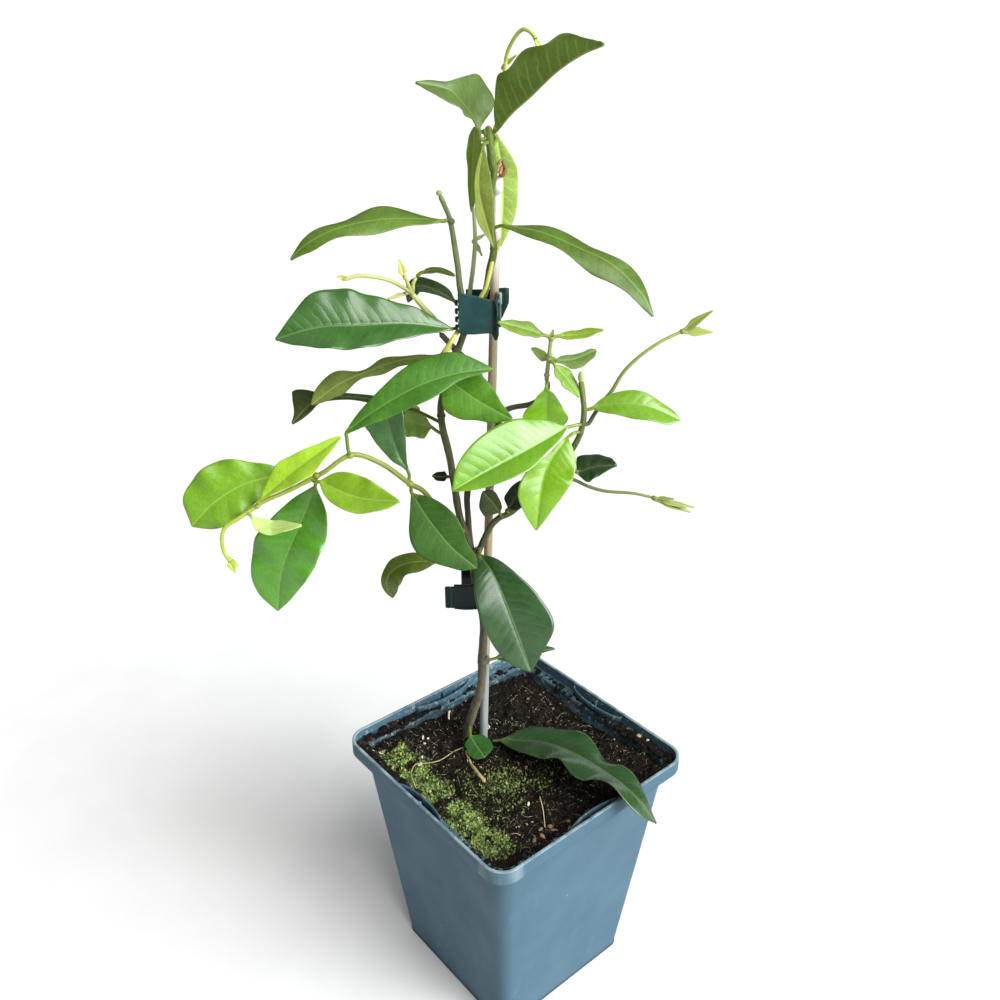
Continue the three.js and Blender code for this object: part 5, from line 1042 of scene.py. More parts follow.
def pocket(skin, side):
    """A pocket under the rim: a thin web that follows half an ellipse, its section a small rounded
    bar standing on the inner shoulder, and a low rib on the wall behind it."""
    angle = np.linspace(np.pi, 2 * np.pi, POCKET_STEPS)
    wall = RIM_HALF - WALL / 2
    foot = SHOULDER_Z + WALL / 2
    inset = 0.5 * POCKET_WALL
    line = np.stack([
        (POCKET_HALF - inset) * np.cos(angle), wall + (POCKET_BOW - inset) * np.sin(angle)], -1)
    out = unit(np.stack([np.cos(angle) / POCKET_HALF, np.sin(angle) / POCKET_BOW], -1))
    xy = line[:, None] + out[:, None] * (POCKET_WALL * POCKET_SECTION[:, 0])[None, :, None]
    z = foot + (POCKET_TOP - foot) * POCKET_SECTION[:, 1]
    web = np.dstack([xy, np.broadcast_to(z, xy.shape[:2])])
    x, y = RIB_SECTION[:, 0], wall - RIB_DEPTH * RIB_SECTION[:, 1]
    rib = np.stack([
        np.column_stack([k * x, y + lean, np.full(len(x), level)])
        for level, k, lean in ((foot, 1, 0), (RIB_TOP - 0.4, 1, 0), (RIB_TOP, 0.5, 0.5))])
    turn = side * np.pi / 2
    spin = np.array([[np.cos(turn), np.sin(turn), 0], [-np.sin(turn), np.cos(turn), 0], [0, 0, 1]])
    for grid in (web, rib):
        skin.add_wrapped(grid @ spin, (1, 0, 0))


def make_pot(settings):
    """The pot: its profile carried round a square ring with round corners, outside and inside in
    one closed skin, then drained by holes cut through the floor."""
    step_z = SHOULDER_Z + WALL
    corners = np.array([
        (*FLOOR_MIDDLE, 0.7), (BASE_HALF - 3.4, BASE_CORNER, 0.7), (BASE_HALF - 2.6, BASE_CORNER, 0),
        (BASE_HALF, BASE_CORNER, 0), (body_half(1.1), BASE_CORNER, 1.1),
        (body_half(1.3) - 0.2, BASE_CORNER, 1.5), (body_half(SHOULDER_Z), BODY_CORNER, SHOULDER_Z),
        (RIM_HALF, RIM_CORNER, SHOULDER_Z), (RIM_HALF, RIM_CORNER, POT_HEIGHT),
        (RIM_HALF - WALL, RIM_CORNER - WALL, POT_HEIGHT), (RIM_HALF - WALL, RIM_CORNER - WALL, step_z),
        (body_half(step_z) - WALL, BODY_CORNER - WALL, step_z),
        (body_half(FLOOR) - WALL, BASE_CORNER - WALL, FLOOR), (*FLOOR_MIDDLE, FLOOR)], float)
    rows = rounded_profile(corners, settings.edge_round / MM)
    grid = np.stack([rounded_square(half, corner, z, settings.corner_steps) for half, corner, z in rows])
    inside = (np.arange(len(rows)) > np.argmax([row[2] for row in rows])).astype(float)
    shell = Skin()
    shell.add_wrapped(grid, inside[:, None, None] * (1.0, 0, 0))
    plastic = pot_plastic(settings)
    pot = shell.make("pot_shell", plastic, "pot_plastic", "pot")
    turn = full_turn(DRAIN_SIDES)
    circle = DRAIN_RADIUS * np.stack([np.cos(turn), np.sin(turn), 0 * turn], -1)
    drill = Skin()
    for x in (-DRAIN_OFFSET, DRAIN_OFFSET):
        for y in (-DRAIN_OFFSET, DRAIN_OFFSET):
            drill.add_wrapped(np.stack([circle + (x, y, -2), circle + (x, y, 2 * FLOOR)]))
    cutter = drill.make("pot_drill", plastic, "pot_plastic")
    cut = pot.modifiers.new("drains", "BOOLEAN")
    cut.operation, cut.object, cut.solver = "DIFFERENCE", cutter, "EXACT"
    bpy.context.view_layer.objects.active = pot
    bpy.ops.object.modifier_apply(modifier=cut.name)
    bpy.data.objects.remove(cutter)
    pockets = Skin()
    for side in range(4):
        pocket(pockets, side)
    pockets.make("pot_pockets", plastic, "pot_plastic")


# Soil


def hills(x, y, table):
    """Sum of round bell-shaped hills. The table holds the place, spread and rise of each."""
    return sum(rise * np.exp(-((x - at_x) ** 2 + (y - at_y) ** 2) / spread**2)
               for at_x, at_y, spread, rise in table)


def soil_height(x, y):
    """Height of the peat: a slow ripple, with low mounds and a hollow along the walls."""
    ripple = np.sin(0.55 * x + 1.1) * np.cos(0.47 * y) + 0.6 * np.sin(0.9 * y - 0.4 * x)
    return SOIL_TOP + 0.5 * SOIL_RIPPLE * ripple + hills(x, y, SOIL_MOUNDS)


def broken_height(x, y):
    """The peat's height with its crumbs: three sizes of noise on top of its broad form."""
    return soil_height(x, y) + sum(
        height * (lattice_noise(x / size, y / size, seed) - 0.5) for size, height, seed in SOIL_NOISE)


def moss_share(x, y):
    """How mossy the peat is: a thick strip along the front left wall and a few thin patches."""
    strip = np.clip((x + 23 + 4 * lattice_noise(y / 7, y / 9 + 3, 9)) / -5, 0, 1)
    strip *= np.clip((34 - np.abs(y)) / 6, 0, 1)
    patch = lattice_noise(x / 4.5 + 9, y / 4.5 + 9, 11)
    return np.clip((strip + hills(x, y, MOSS_PATCHES)) * np.clip(4 * patch - 0.4, 0, 1.2), 0, 1)


def make_soil(settings):
    """The peat: a broken surface on a square grid, closed down to the pot's floor."""
    inner, corner = body_half(SOIL_EDGE) - WALL - SOIL_GAP, BODY_CORNER - WALL
    rings = []
    for share in (1 - np.linspace(0, 1, SOIL_RINGS + 1)[1:-1] ** 1.15):
        ring = rounded_square(inner * share, corner * share, 0, *SOIL_STEPS)
        ring[:, 2] = broken_height(ring[:, 0], ring[:, 1])
        rings.append(ring)
    lip = rounded_square(inner, corner, 0, *SOIL_STEPS)
    lip[:, 2] = soil_height(lip[:, 0], lip[:, 1]) - 0.4
    foot = rounded_square(
        body_half(3) - WALL - SOIL_GAP, BASE_CORNER - WALL, FLOOR + 0.4, *SOIL_STEPS)
    grid = np.stack([foot, lip, *rings])
    moss = moss_share(grid[..., 0], grid[..., 1])[..., None]
    skin = Skin()
    skin.add_wrapped(grid, tones=1 + moss * np.array([0.6, 1.6, 0]))
    skin.make("peat", peat_finish(settings), "peat", "soil")


def scatter(count, rng, keep):
    """Random places on the peat, kept with the chance that keep gives there, clear of the walls."""
    half = body_half(SOIL_EDGE) - WALL - 1.0
    x, y = rng.uniform(-half, half, (2, 6 * count))
    chosen = rng.random(len(x)) < keep(x, y)
    x, y = x[chosen][:count], y[chosen][:count]
    return np.stack([x, y, broken_height(x, y)], -1)


def on_shoulder(count, rng):
    """Random places on the pot's inner shoulder, more of them towards its left and right corners."""
    wall = RIM_HALF - WALL - 1
    run = rng.uniform(-wall, wall, count)
    out = rng.uniform(RIM_HALF - SHOULDER - WALL, wall, count)
    side = rng.integers(0, 4, count)
    x = np.choose(side, [run, run, out, -out])
    y = np.choose(side, [out, -out, run, run])
    near = hills(x, y, LEDGE_PILES)
    past = np.maximum(np.abs(np.stack([x, y])) - (RIM_HALF - RIM_CORNER), 0)
    within = np.hypot(*past) < RIM_CORNER - WALL - 1.2
    kept = (rng.random(count) < near + 0.12) & within
    pile = 1.6 * near[kept] * rng.random(kept.sum())
    return np.stack([x[kept], y[kept], SHOULDER_Z + WALL + 0.1 + pile], -1)


def grain_sizes(rng, count, least, extra, power, even, uneven):
    """Half sizes of many grains, most of them near the least size, each uneven in its own way."""
    return (least + extra * rng.random((count, 1)) ** power) * (even + uneven * rng.random((count, 3)))


def lumps(skin, places, sizes, turns, tones, rng, jitter):
    """Copies of the rounded lump, each turned about Z, sized and roughened on its own."""
    rough = 1 + jitter * (rng.random((len(places), len(LUMP), 1)) - 0.5)
    shape = LUMP[None] * sizes[:, None, :] * rough
    cos, sin = np.cos(turns)[:, None], np.sin(turns)[:, None]
    x, y = shape[..., 0] * cos - shape[..., 1] * sin, shape[..., 0] * sin + shape[..., 1] * cos
    points = np.stack([x, y, shape[..., 2]], -1) + places[:, None]
    skin.add_many(points, NO_QUADS, LUMP_FACES, tones[:, None])


def make_crumbs(settings):
    """Loose crumbs of peat, flakes of bark, and pale grains of grit among them."""
    rng = np.random.default_rng(SEEDS["crumbs"])
    skin = Skin()
    places = scatter(settings.crumbs, rng, lambda x, y: 1 - 0.85 * moss_share(x, y))
    ledge = on_shoulder(LEDGE_CRUMBS, rng)
    places = np.vstack([places, ledge])
    count = len(places)
    sizes = grain_sizes(rng, count, 0.22, 0.75, 3, 0.6, 0.8)
    sizes[-len(ledge):] *= (1.7, 1.7, 0.9)
    dark, brown, tan = 1.3 * np.array(settings.peat), np.array(settings.dry), np.array(BARK_FLAKES)
    pick, shade = rng.random((count, 1)), 0.4 + 0.9 * rng.random((count, 1))
    tones = np.where(pick < 0.72, shade * dark, np.where(pick < 0.97, shade * brown, shade * tan))
    lumps(skin, places + (0, 0, 0.1), sizes, ANY_TURN * rng.random(count), tones, rng, 0.7)
    skin.make("peat_crumbs", grown_finish("jasmine_crumbs", 0.85, 0.35), "peat", smooth_faces=False)
    grit = Skin()
    places = scatter(GRIT_GRAINS, rng, lambda x, y: 0.5 + 0 * x)
    places = np.vstack([places, on_shoulder(LEDGE_GRAINS, rng)])
    count = len(places)
    sizes = grain_sizes(rng, count, 0.1, 0.28, 2, 0.6, 0.9)
    tones = np.array(GRIT) * (0.5 + 0.6 * rng.random((count, 1)))
    lumps(grit, places + (0, 0, 0.3), sizes, ANY_TURN * rng.random(count), tones, rng, 0.6)
    chips = np.array(CHIPS, float)
    chips[:, 2] += broken_height(chips[:, 0], chips[:, 1])
    lumps(grit, chips[:, :3], chips[:, 3:6], chips[:, 6], chips[:, 7:], rng, 0.35)
    grit.make("pale_grit", grown_finish("jasmine_grit", 0.7, 0.15), "peat", smooth_faces=False)


def make_moss(settings):
    """Moss: thousands of leaning three-sided shoots, in a carpet at the front left and in tufts,
    with small cushions among them."""
    rng = np.random.default_rng(SEEDS["moss"])
    places = scatter(settings.moss_shoots, rng, lambda x, y: np.clip(0.002 + moss_share(x, y), 0, 1))
    count = len(places)
    turn = full_turn(3)[None] + ANY_TURN * rng.random((count, 1))
    tuft = lattice_noise(places[:, 0] / 2.2, places[:, 1] / 2.2, 12)
    height = (0.35 + 0.6 * rng.random(count)) * (0.4 + 1.2 * tuft)
    width = (0.22 + 0.2 * rng.random(count))[:, None]
    lean = rng.normal(0, 0.35, (count, 2)) * height[:, None]
    foot = np.stack([np.cos(turn) * width, np.sin(turn) * width, np.zeros((count, 3))], -1)
    middle = 1.25 * foot + np.dstack([*(0.45 * lean.T)[:, :, None], 0.5 * height[:, None]])
    tip = np.dstack([*lean.T[:, :, None], height[:, None]])
    points = np.concatenate([foot - (0, 0, 0.5), middle, tip], 1) + places[:, None]
    dark, bright = np.array(MOSS_FOOT), np.array(settings.moss)
    # Shoots in low tufts are darkened as painted shade in the gaps of the carpet
    shade = 0.35 + 1.1 * rng.random((count, 1, 1)) ** 2
    shade = shade * (0.25 + 1.6 * tuft[:, None, None] ** 2)
    # Each shoot runs from a dark foot to a bright tip: partly the moss's own paler young tips, partly
    # painted shade low in the carpet
    rise = np.array([0, 0, 0, 0.55, 0.55, 0.55, 1])[None, :, None]
    dry = np.where(rng.random((count, 1, 1)) < 0.16, np.array(DRY_MOSS), bright)
    skin = Skin()
    skin.add_many(points, MOSS_WALLS, MOSS_ENDS, shade * (dark + (dry - dark) * rise))
    places = scatter(settings.moss_cushions, rng, lambda x, y: moss_share(x, y) ** 2)
    count = len(places)
    sizes = grain_sizes(rng, count, 0.28, 0.4, 2, 0.7, 0.5)
    tones = bright * (0.35 + rng.random((count, 1)) ** 2) * (1, 0.95 + 0.1 * rng.random(), 1.2)
    lumps(skin, places + (0, 0, 0.45), sizes, ANY_TURN * rng.random(count), tones, rng, 0.6)
    skin.make("moss", grown_finish("jasmine_moss", 0.6, 0.25), "peat")


def make_fibres(settings):
    """Fine root fibres strewn over the peat, and the longer bits of straw that show singly."""
    rng = np.random.default_rng(SEEDS["fibres"])
    places = scatter(settings.fibres, rng, lambda x, y: 0.7 + 0 * x)
    count = len(places)
    share = np.linspace(0, 1, FIBRE_POINTS)
    length = 1.2 + 5.5 * rng.random(count) ** 2
    turn = ANY_TURN * rng.random(count)
    heading = turn[:, None] + rng.normal(0, 0.9, count)[:, None] * share
    step = (length / (FIBRE_POINTS - 1))[:, None]
    x = places[:, :1] + np.cumsum(np.cos(heading), 1) * step
    y = places[:, 1:2] + np.cumsum(np.sin(heading), 1) * step
    wall = body_half(SOIL_EDGE) - WALL - 0.8
    x, y = np.clip(x, -wall, wall), np.clip(y, -wall, wall)
    z = broken_height(x, y) + 0.25 + 0.5 * rng.random((count, 1)) * np.sin(np.pi * share)
    centre = np.stack([x, y, z], -1)
    radius = ((0.04 + 0.06 * rng.random((count, 1))) * (1 - 0.6 * share))[..., None]
    out = np.stack([-np.sin(heading), np.cos(heading), 0 * heading], -1)
    rise = np.array((0, 0, 1.0))
    sides = [out * c + rise * s for c, s in ((1, 0), (-0.5, 0.87), (-0.5, -0.87))]
    grid = np.stack([centre + radius * side for side in sides], 2)
    index = np.arange(3 * FIBRE_POINTS).reshape(FIBRE_POINTS, 3)
    right = np.roll(index, -1, 1)
    walls = np.stack([index[:-1], index[1:], right[1:], right[:-1]], -1).reshape(-1, 4)
    ends = np.array([index[0], index[-1, ::-1]])
    tint = np.where(rng.random((count, 1)) < 0.5, np.array(PALE_FIBRE), np.array(DARK_FIBRE))
    tones = tint * (0.6 + 0.6 * rng.random((count, 1)))
    skin = Skin()
    skin.add_many(grid.reshape(count, -1, 3), walls, ends, tones[:, None])
    for route, radii, tone in STRAWS:
        route = np.array(route, float)
        route[:, 2] += broken_height(route[:, 0], route[:, 1])
        tube(skin, route, radii, (linear(tone),) * 2, 6, 0.6, 0.25, SEEDS["straw"], plant=False)
    skin.make("fibres", grown_finish("jasmine_fibres", 0.7, 0.3), "peat")


# Cane and clips


def make_cane(settings):
    """The cane: a straight bar with a swollen ring at each node, split and torn at its top."""
    low, high = np.array(CANE_LOW, float), np.array(CANE_HIGH, float)
    share = np.linspace(0, 1, CANE_ROWS)
    along = share * np.linalg.norm(high - low)
    turn = full_turn(CANE_SIDES)
    gap = along[:, None] - np.array(CANE_NODES)
    ring = (np.exp(-(gap / 0.9) ** 2) - 0.45 * np.exp(-((gap + 1.6) / 0.6) ** 2)).sum(1)
    bulge = np.clip((along - CANE_NODES[-1]) / 0.8, 0, 1) * np.clip((CANE_TOP_END - along) / 1.6, 0, 1)
    radius = CANE_RADII[0] + (CANE_RADII[1] - CANE_RADII[0]) * share + 0.22 * ring + 0.3 * bulge
    centre = low + share[:, None] * (high - low)
    side, back = np.array((1.0, 0, -0.03)), np.array((0, 1.0, 0))
    reach = radius[:, None] * (1 + 0.02 * np.cos(7 * turn))
    grid = centre[:, None] + reach[..., None] * (
        side * np.cos(turn)[:, None] + back * np.sin(turn)[:, None])[None]
    top_cut = 2.6 * (0.5 + 0.5 * np.sin(3 * turn + 0.6)) + 0.8 * np.sin(7 * turn)
    grid[-4:, :, 2] -= np.linspace(0.2, 1, 4)[:, None] * np.maximum(top_cut, 0)[None]
    dark = np.clip(1 - 0.75 * np.exp(-(gap / 0.8) ** 2).sum(1), 0.2, 1)[:, None, None]
    skin = Skin()
    spots = along_and_round(along, np.arange(CANE_SIDES) / CANE_SIDES, share)
    skin.add_wrapped(to_row(grid), spots, dark)
    skin.make("cane_rod", cane_finish(settings), "bamboo", "cane")
    torn = Skin()
    for k, (route, tone) in enumerate(CANE_SPLINTERS):
        tones = (linear(tone), 0.7 * linear(tone))
        tube(torn, route, (0.95, 0.3), tones, 8, 0.35, 0.5, SEEDS["splinters"] + k)
    torn.make("cane_splinters", grown_finish("jasmine_splinters", 0.8, 0.4), "bamboo")


def plate(skin, centre, points, tone, thick=JAW_THICK):
    """A plate that follows a line in plan, rounded at its points by a smooth curve. Each point holds
    x, y, the bottom and the top of the plate there, all from the clip's centre."""
    points = np.array(points, float)
    u = np.linspace(0, 1, 8 * len(points))
    line, _ = smooth(points[:, :3], u)
    tops = smooth(points[:, [0, 1, 3]], u)[0][:, 2]
    way = unit(np.gradient(line[:, :2], axis=0))
    out = np.stack([way[:, 1], -way[:, 0]], -1)
    middle, half = 0.5 * (tops + line[:, 2]), 0.5 * (tops - line[:, 2])
    grid = np.dstack([
        line[:, None, :2] + out[:, None] * (thick * CLIP_SECTION[:, 0])[None, :, None],
        middle[:, None] + half[:, None] * CLIP_SECTION[:, 1][None]])
    skin.add_wrapped(to_row(grid + centre), tones=tone * np.ones(3))


def bar(skin, centre, at, radius, low, high, tone, flat=1.0):
    """A short upright bar with a round or flattened section and chamfered ends."""
    turn = full_turn(BAR_SIDES)
    grid = np.stack([
        np.stack([at[0] + radius * k * np.cos(turn), at[1] + flat * radius * k * np.sin(turn),
                  np.full(BAR_SIDES, z)], -1)
        for z, k in ((low, 0.8), (low + 0.25, 1), (high - 0.25, 1), (high, 0.8))])
    skin.add_wrapped(to_row(grid + centre), tones=tone * np.ones(3))


def make_clip(name, clip, material):
    """A clip: two jaws round the cane and stems that meet in a bent web at the right, a thumb tab
    that flares from each jaw beyond it, a hinge pin, and teeth on the front jaw's left edge."""
    skin = Skin()
    centre = np.array(clip.centre, float)
    half, back, high = clip.length / 2, clip.depth / 2 - JAW_THICK, clip.height / 2
    tone, rise, flare, lug = clip.tone, clip.rise, clip.flare, 0.5 * clip.lug
    front_jaw = [
        (-half + 0.4, -back, -high, high + rise), (-0.4 * half, -back, -high - 0.4, high + 0.7 * rise),
        (0.2 * half, -back, -high - 0.1, high + 0.2 * rise), (half - 3.4, -back, -high, high - 0.1)]
    front_tab = [
        (half - 3.6, -back - 0.1, -high, high), (half - 3, -back - 0.4, -high - 0.7 * flare, high),
        (half - 2.4, -back - 1, -high - flare, high - 0.3),
        (half - 1.9, -back - 1.9, -high - 0.2 * flare, high - 1.6)]
    web = [(half - inward, y, -high, high) for inward, y in (
        (3.5, -back + 0.1), (2.4, -0.8 * back), (1.9, -0.2 * back), (1.9, 0.3 * back), (2.4, 0.8 * back),
        (3.6, back))]
    back_jaw = [(x, back, -high, high) for x in (half - 3.4, 0, -half + 2.4)]
    back_tab = [
        (half - 2.2, back - 1, -0.5 * high, high + 0.6),
        (half - 1.4 + 0.3 * lug, back - 0.9, -0.75 * high, high + 0.7),
        (half - 1.4 + lug, back - 0.6, -0.2 * high, high + 0.7),
        (half - 0.6 + lug, back, 0.2 * high, high + 0.5)]
    # The tab, web, back jaw and back tab are the same plastic as the front jaw, darkened by their
    # factors as painted shade
    plate(skin, centre, front_jaw, tone)
    plate(skin, centre, front_tab, 0.4 * tone, TAB_THICK)
    plate(skin, centre, web, 0.6 * tone)
    plate(skin, centre, back_jaw, 0.5 * tone)
    plate(skin, centre, back_tab, 0.45 * tone, LUG_THICK)
    # The pin and the spring bar are pale partly as metal and partly as painted glint
    bars = [((half - 1.5, 0.3 * back), 0.9, 0.3 * high, high + 0.3, CLIP_GLINT * tone),
            ((half - 1.2, -0.55 * back), 0.35, -0.8 * high, 0.7 * high, 0.5 * CLIP_GLINT * tone)]
    # Each tooth is a dark bar, darkened as painted shade, with a small pale bar beside it as a painted
    # glint
    for k in range(clip.teeth):
        z = (k + 0.5 - clip.teeth / 2) * 2 * high / clip.teeth + 0.3
        bars.append(((-half + 0.1, -back + 0.6), 0.7, z - 0.8, z + 0.8, 0.2 * tone))
        bars.append(((-half + 0.5, -back - 0.3), 0.32, z - 0.55, z + 0.35, 0.8 * CLIP_GLINT * tone))
    # The two bars at the tab's fold are the same plastic, one made brighter as painted light on the fold
    if clip.tab:
        for side, shade in ((-0.25, 1), (0.25, 2.2)):
            at = (-half + (side - 0.5) * clip.tab + 0.5, -back + 0.4)
            bars.append((at, 0.35 * clip.tab, -high, 0.8 * high, shade * tone, 0.4))
    for values in bars:
        bar(skin, centre, *values)
    skin.make(name.replace("clip_", "plant_clip_"), material, "clip_plastic", name)


# Stems and shoots


def core_lines():
    """Points along the middle of every stem and shoot, for a stalk to grow out of."""
    routes = [route for route, _, _ in WOOD]
    for _, stems, _, _ in SHOOTS.values():
        routes += [route for route, _ in stems]
    return [smooth(route, np.linspace(0, 1, CORE_POINTS))[0] for route in routes]


def rooted(route, cores, reach=SHOOT_REACH, skip_own=False):
    """A route that begins at the nearest point of another stem's middle line, if one is near."""
    start = np.array(route[0], float)
    points = np.vstack([
        core for core in cores if not skip_own or np.linalg.norm(core[0] - start) > SAME_START])
    gaps = np.linalg.norm(points - start, axis=1)
    if TOUCHING <= gaps.min() <= reach:
        route = [points[np.argmin(gaps)], *route]
    return route


def bark_tone(place):
    """Tone of the brown stem that runs nearest to a place."""
    share = np.linspace(0, 1, 60)
    gaps = np.array([np.linalg.norm(smooth(route, share)[0] - place, axis=1) for route, _, _ in WOOD])
    nearest = np.argmin(gaps.min(1))
    low, high = (linear(tone) for tone in WOOD[nearest][2])
    return low + (high - low) * share[np.argmin(gaps[nearest])]


def make_wood():
    """The brown stems with their knots and the stumps of shed stalks, dark and rough low down and
    greener towards their tips."""
    skin = Skin()
    cores = core_lines()[:len(WOOD)]
    for k, (route, radii, tones) in enumerate(WOOD):
        route = rooted(route, cores, STEM_REACH, skip_own=True)
        tube(skin, route, radii, [linear(tone) for tone in tones], rough=0.2, seed=SEEDS["stems"] + k)
    for at, radius in WOOD_KNOTS:
        knot(skin, at, radius, 0.8 * bark_tone(at))
    for at, half_sizes, tone in WOOD_BUDS:
        ball(skin, at, half_sizes, linear(tone))
    for foot, top, radius in WOOD_STUMPS:
        route = [foot, 0.5 * (np.array(foot) + np.array(top)), top]
        tones = (bark_tone(foot), 1.3 * bark_tone(top))
        tube(skin, route, (radius, 0.8 * radius), tones, 10, 0.4, 0.2, SEEDS["stumps"])
    skin.make("stems", bark_finish("jasmine_bark", 0.68, 0.4, 0.0004), "bark", "stem_woody")


def shoot_tip(start, end, width, face):
    """A small leaf in bud at a shoot's end, in the same form as the full leaves."""
    start, end = np.array(start, float), np.array(end, float)
    halves = [share * width for share in TIP_SHARES]
    midrib = [start + 0.15 * (end - start), 0.5 * (start + end), end]
    return Blade(start, midrib, face, (10, 10), halves, halves)


def make_shoot(name, shoot, cores, leaf_settings):
    """A young shoot: slender stems with swollen nodes, and small folded leaves at the tip."""
    skin = Skin()
    tones, stems, knots, tips = shoot
    start, tender = (linear(tone) for tone in tones)
    young = 0.5 * (start + tender)
    for k, (route, radii) in enumerate(stems):
        route = rooted(route, cores, skip_own=True)
        tube(skin, route, radii, (young if k else start, tender), 12, 0.6, 0.08, SEEDS["shoots"] + k)
    for at, radius in knots:
        knot(skin, at, radius, young)
    for tip in tips:
        add_blade(skin, shoot_tip(*tip), tender, 0.8 * tender, cores, leaf_settings)
    skin.make(name + "_skin", bark_finish("jasmine_" + name, 0.45, 0.15, 0.0001), "young_stem", name)


# Leaves


def half_width(values, u):
    """Half width of one side of a leaf: a smooth curve through its values at fixed stations."""
    heights = np.array([PETIOLE, *values, TIP_HALF], float)
    last = len(heights) - 1
    low, high = np.maximum(np.arange(last + 1) - 1, 0), np.minimum(np.arange(last + 1) + 1, last)
    slopes = (heights[high] - heights[low]) / (WIDTH_AT[high] - WIDTH_AT[low])
    k = np.clip(np.searchsorted(WIDTH_AT, u, side="right") - 1, 0, last - 1)
    span = WIDTH_AT[k + 1] - WIDTH_AT[k]
    t = (u - WIDTH_AT[k]) / span
    value = cubic(t, heights[k], heights[k + 1], span * slopes[k], span * slopes[k + 1])
    return np.maximum(value, TIP_HALF)


def add_blade(skin, leaf, upper, under, cores, settings):
    """One leaf as a closed blade on a round stalk. The midrib is a smooth curve through the leaf's
    points. Each half rises from it by its fold angle and arches a little, its edge waves by a sine
    along the length, and the blade puffs up between side veins that sweep towards the tip."""
    stalk = np.array(leaf.stalk, float)
    _, run = even_steps(leaf.midrib, 0.5)
    length = run[-1]
    count = int(np.clip(length / BLADE_STEP, *BLADE_ROWS))
    u = np.linspace(0, 1, count) ** 1.02
    centre, way = smooth(leaf.midrib, u)
    route = [stalk, centre[0] - 0.25 * (centre[0] - stalk), centre[0], centre[0] + 2 * way[0]]
    route = rooted(route, cores, STALK_REACH)
    steps, _ = even_steps(route, 0.5)
    stem = smooth(route, steps)[0]
    stem = stem[: max(np.argmin(np.linalg.norm(stem - centre[0], axis=1)), 3)]
    stem_way = unit(np.gradient(np.vstack([stem, centre[:1]]), axis=0)[:-1])
    centre, way = np.vstack([stem, centre]), np.vstack([stem_way, way])
    u = np.concatenate([np.zeros(len(stem)), u])
    blade = np.concatenate([np.zeros(len(stem)), np.linspace(0, 1, count) / BLADE_FLARE])
    blade = np.clip(blade, 0, 1)[:, None]
    blade = blade * blade * (3 - 2 * blade)
    face, face_tip = np.array(leaf.face, float), np.array(leaf.face_tip or leaf.face, float)
    up = face + (face_tip - face) * u[:, None]
    up = unit(up - (up * way).sum(-1, keepdims=True) * way)
    side = np.cross(way, up)
    v = np.linspace(-1, 1, BLADE_COLUMNS)
    half = np.where(v[None] < 0, half_width(leaf.left, u)[:, None], half_width(leaf.right, u)[:, None])
    fold = np.radians(np.where(v < 0, *leaf.fold))[None] * (u > 0)[:, None]
    swell = np.minimum(1, half / WAVED_HALF) * np.sin(np.pi * u)[:, None]
    wave = leaf.wave * swell * v**2 * np.sin(
        2 * np.pi * leaf.waves * u[:, None] + leaf.phase + np.where(v < 0, LEFT_PHASE, 0))
    across = v * half
    share = np.abs(v)[None] + 0 * half
    arch = 0.1 * blade * half * (share - share**2)
    veins = max(round(length / (settings.vein_gap / MM)), 3)
    sweep = 0.55 * half * share**1.25 / length
    vein_count = veins * (u[:, None] - sweep) + np.where(v < 0, 0.5, 0)
    puff = settings.puff / MM * blade * (0.5 - 0.5 * np.cos(2 * np.pi * vein_count)) * (1 - share**3)
    puff = puff * np.clip(np.abs(across) / 1.2, 0, 1) * np.clip(half / 3, 0, 1)
    groove = 0.08 * blade * np.exp(-((across / 0.45) ** 2))
    keel = 0.5 * blade * (1 - 0.5 * u[:, None]) * np.exp(-((across / 0.6) ** 2))
    body = 0.5 * settings.thickness / MM * (1 - 0.55 * share**4) * blade
    body = body + (1 - blade) * PETIOLE * np.sqrt(np.clip(1 - share**2, 0.02, 1))
    lift = (np.abs(across) * np.sin(fold) + wave + arch)[..., None]
    middle = centre[:, None] + side[:, None] * (across * np.cos(fold))[..., None] + up[:, None] * lift
    top = middle + up[:, None] * (body + puff - groove)[..., None]
    low = middle - up[:, None] * (body + keel - 0.6 * puff)[..., None]
    spot = np.stack(np.broadcast_arrays(vein_count, across + (1 - blade) * 3, share * blade), -1)
    spots = np.concatenate([spot, spot[:, ::-1] + (0, 0, 2)], 1)
    stem_tone = 0.5 * (upper + under) + STALK_TINT
    blade = blade[..., None]
    tones = [blade * tone + (1 - blade) * stem_tone + 0 * top for tone in (upper, under)]
    skin.add_wrapped(to_row(np.concatenate([top, low[:, ::-1]], 1)), spots, np.concatenate(tones, 1))


# Operators


class JASMINE_OT_pot(bpy.types.Operator):
    """Make the pot's shell and the bowed pockets under its rim"""

    bl_idname = "jasmine.pot"
    bl_label = "Pot"

    def execute(self, context):
        make_pot(context.scene.jasmine_pot)
        return {"FINISHED"}


class JASMINE_OT_soil(bpy.types.Operator):
    """Make the peat with its crumbs, grit, moss and fibres"""

    bl_idname = "jasmine.soil"
    bl_label = "Soil"

    def execute(self, context):
        for make in (make_soil, make_crumbs, make_moss, make_fibres):
            make(context.scene.jasmine_soil)
        return {"FINISHED"}


class JASMINE_OT_cane(bpy.types.Operator):
    """Make the bamboo cane"""

    bl_idname = "jasmine.cane"
    bl_label = "Cane"

    def execute(self, context):
        make_cane(context.scene.jasmine_stem)
        return {"FINISHED"}


class JASMINE_OT_clips(bpy.types.Operator):
    """Make the clips that hold the stems to the cane"""

    bl_idname = "jasmine.clips"
    bl_label = "Clips"

    def execute(self, context):
        material = clip_plastic(context.scene.jasmine_stem)
        for name, clip in CLIPS.items():
            make_clip(name, clip, material)
        return {"FINISHED"}


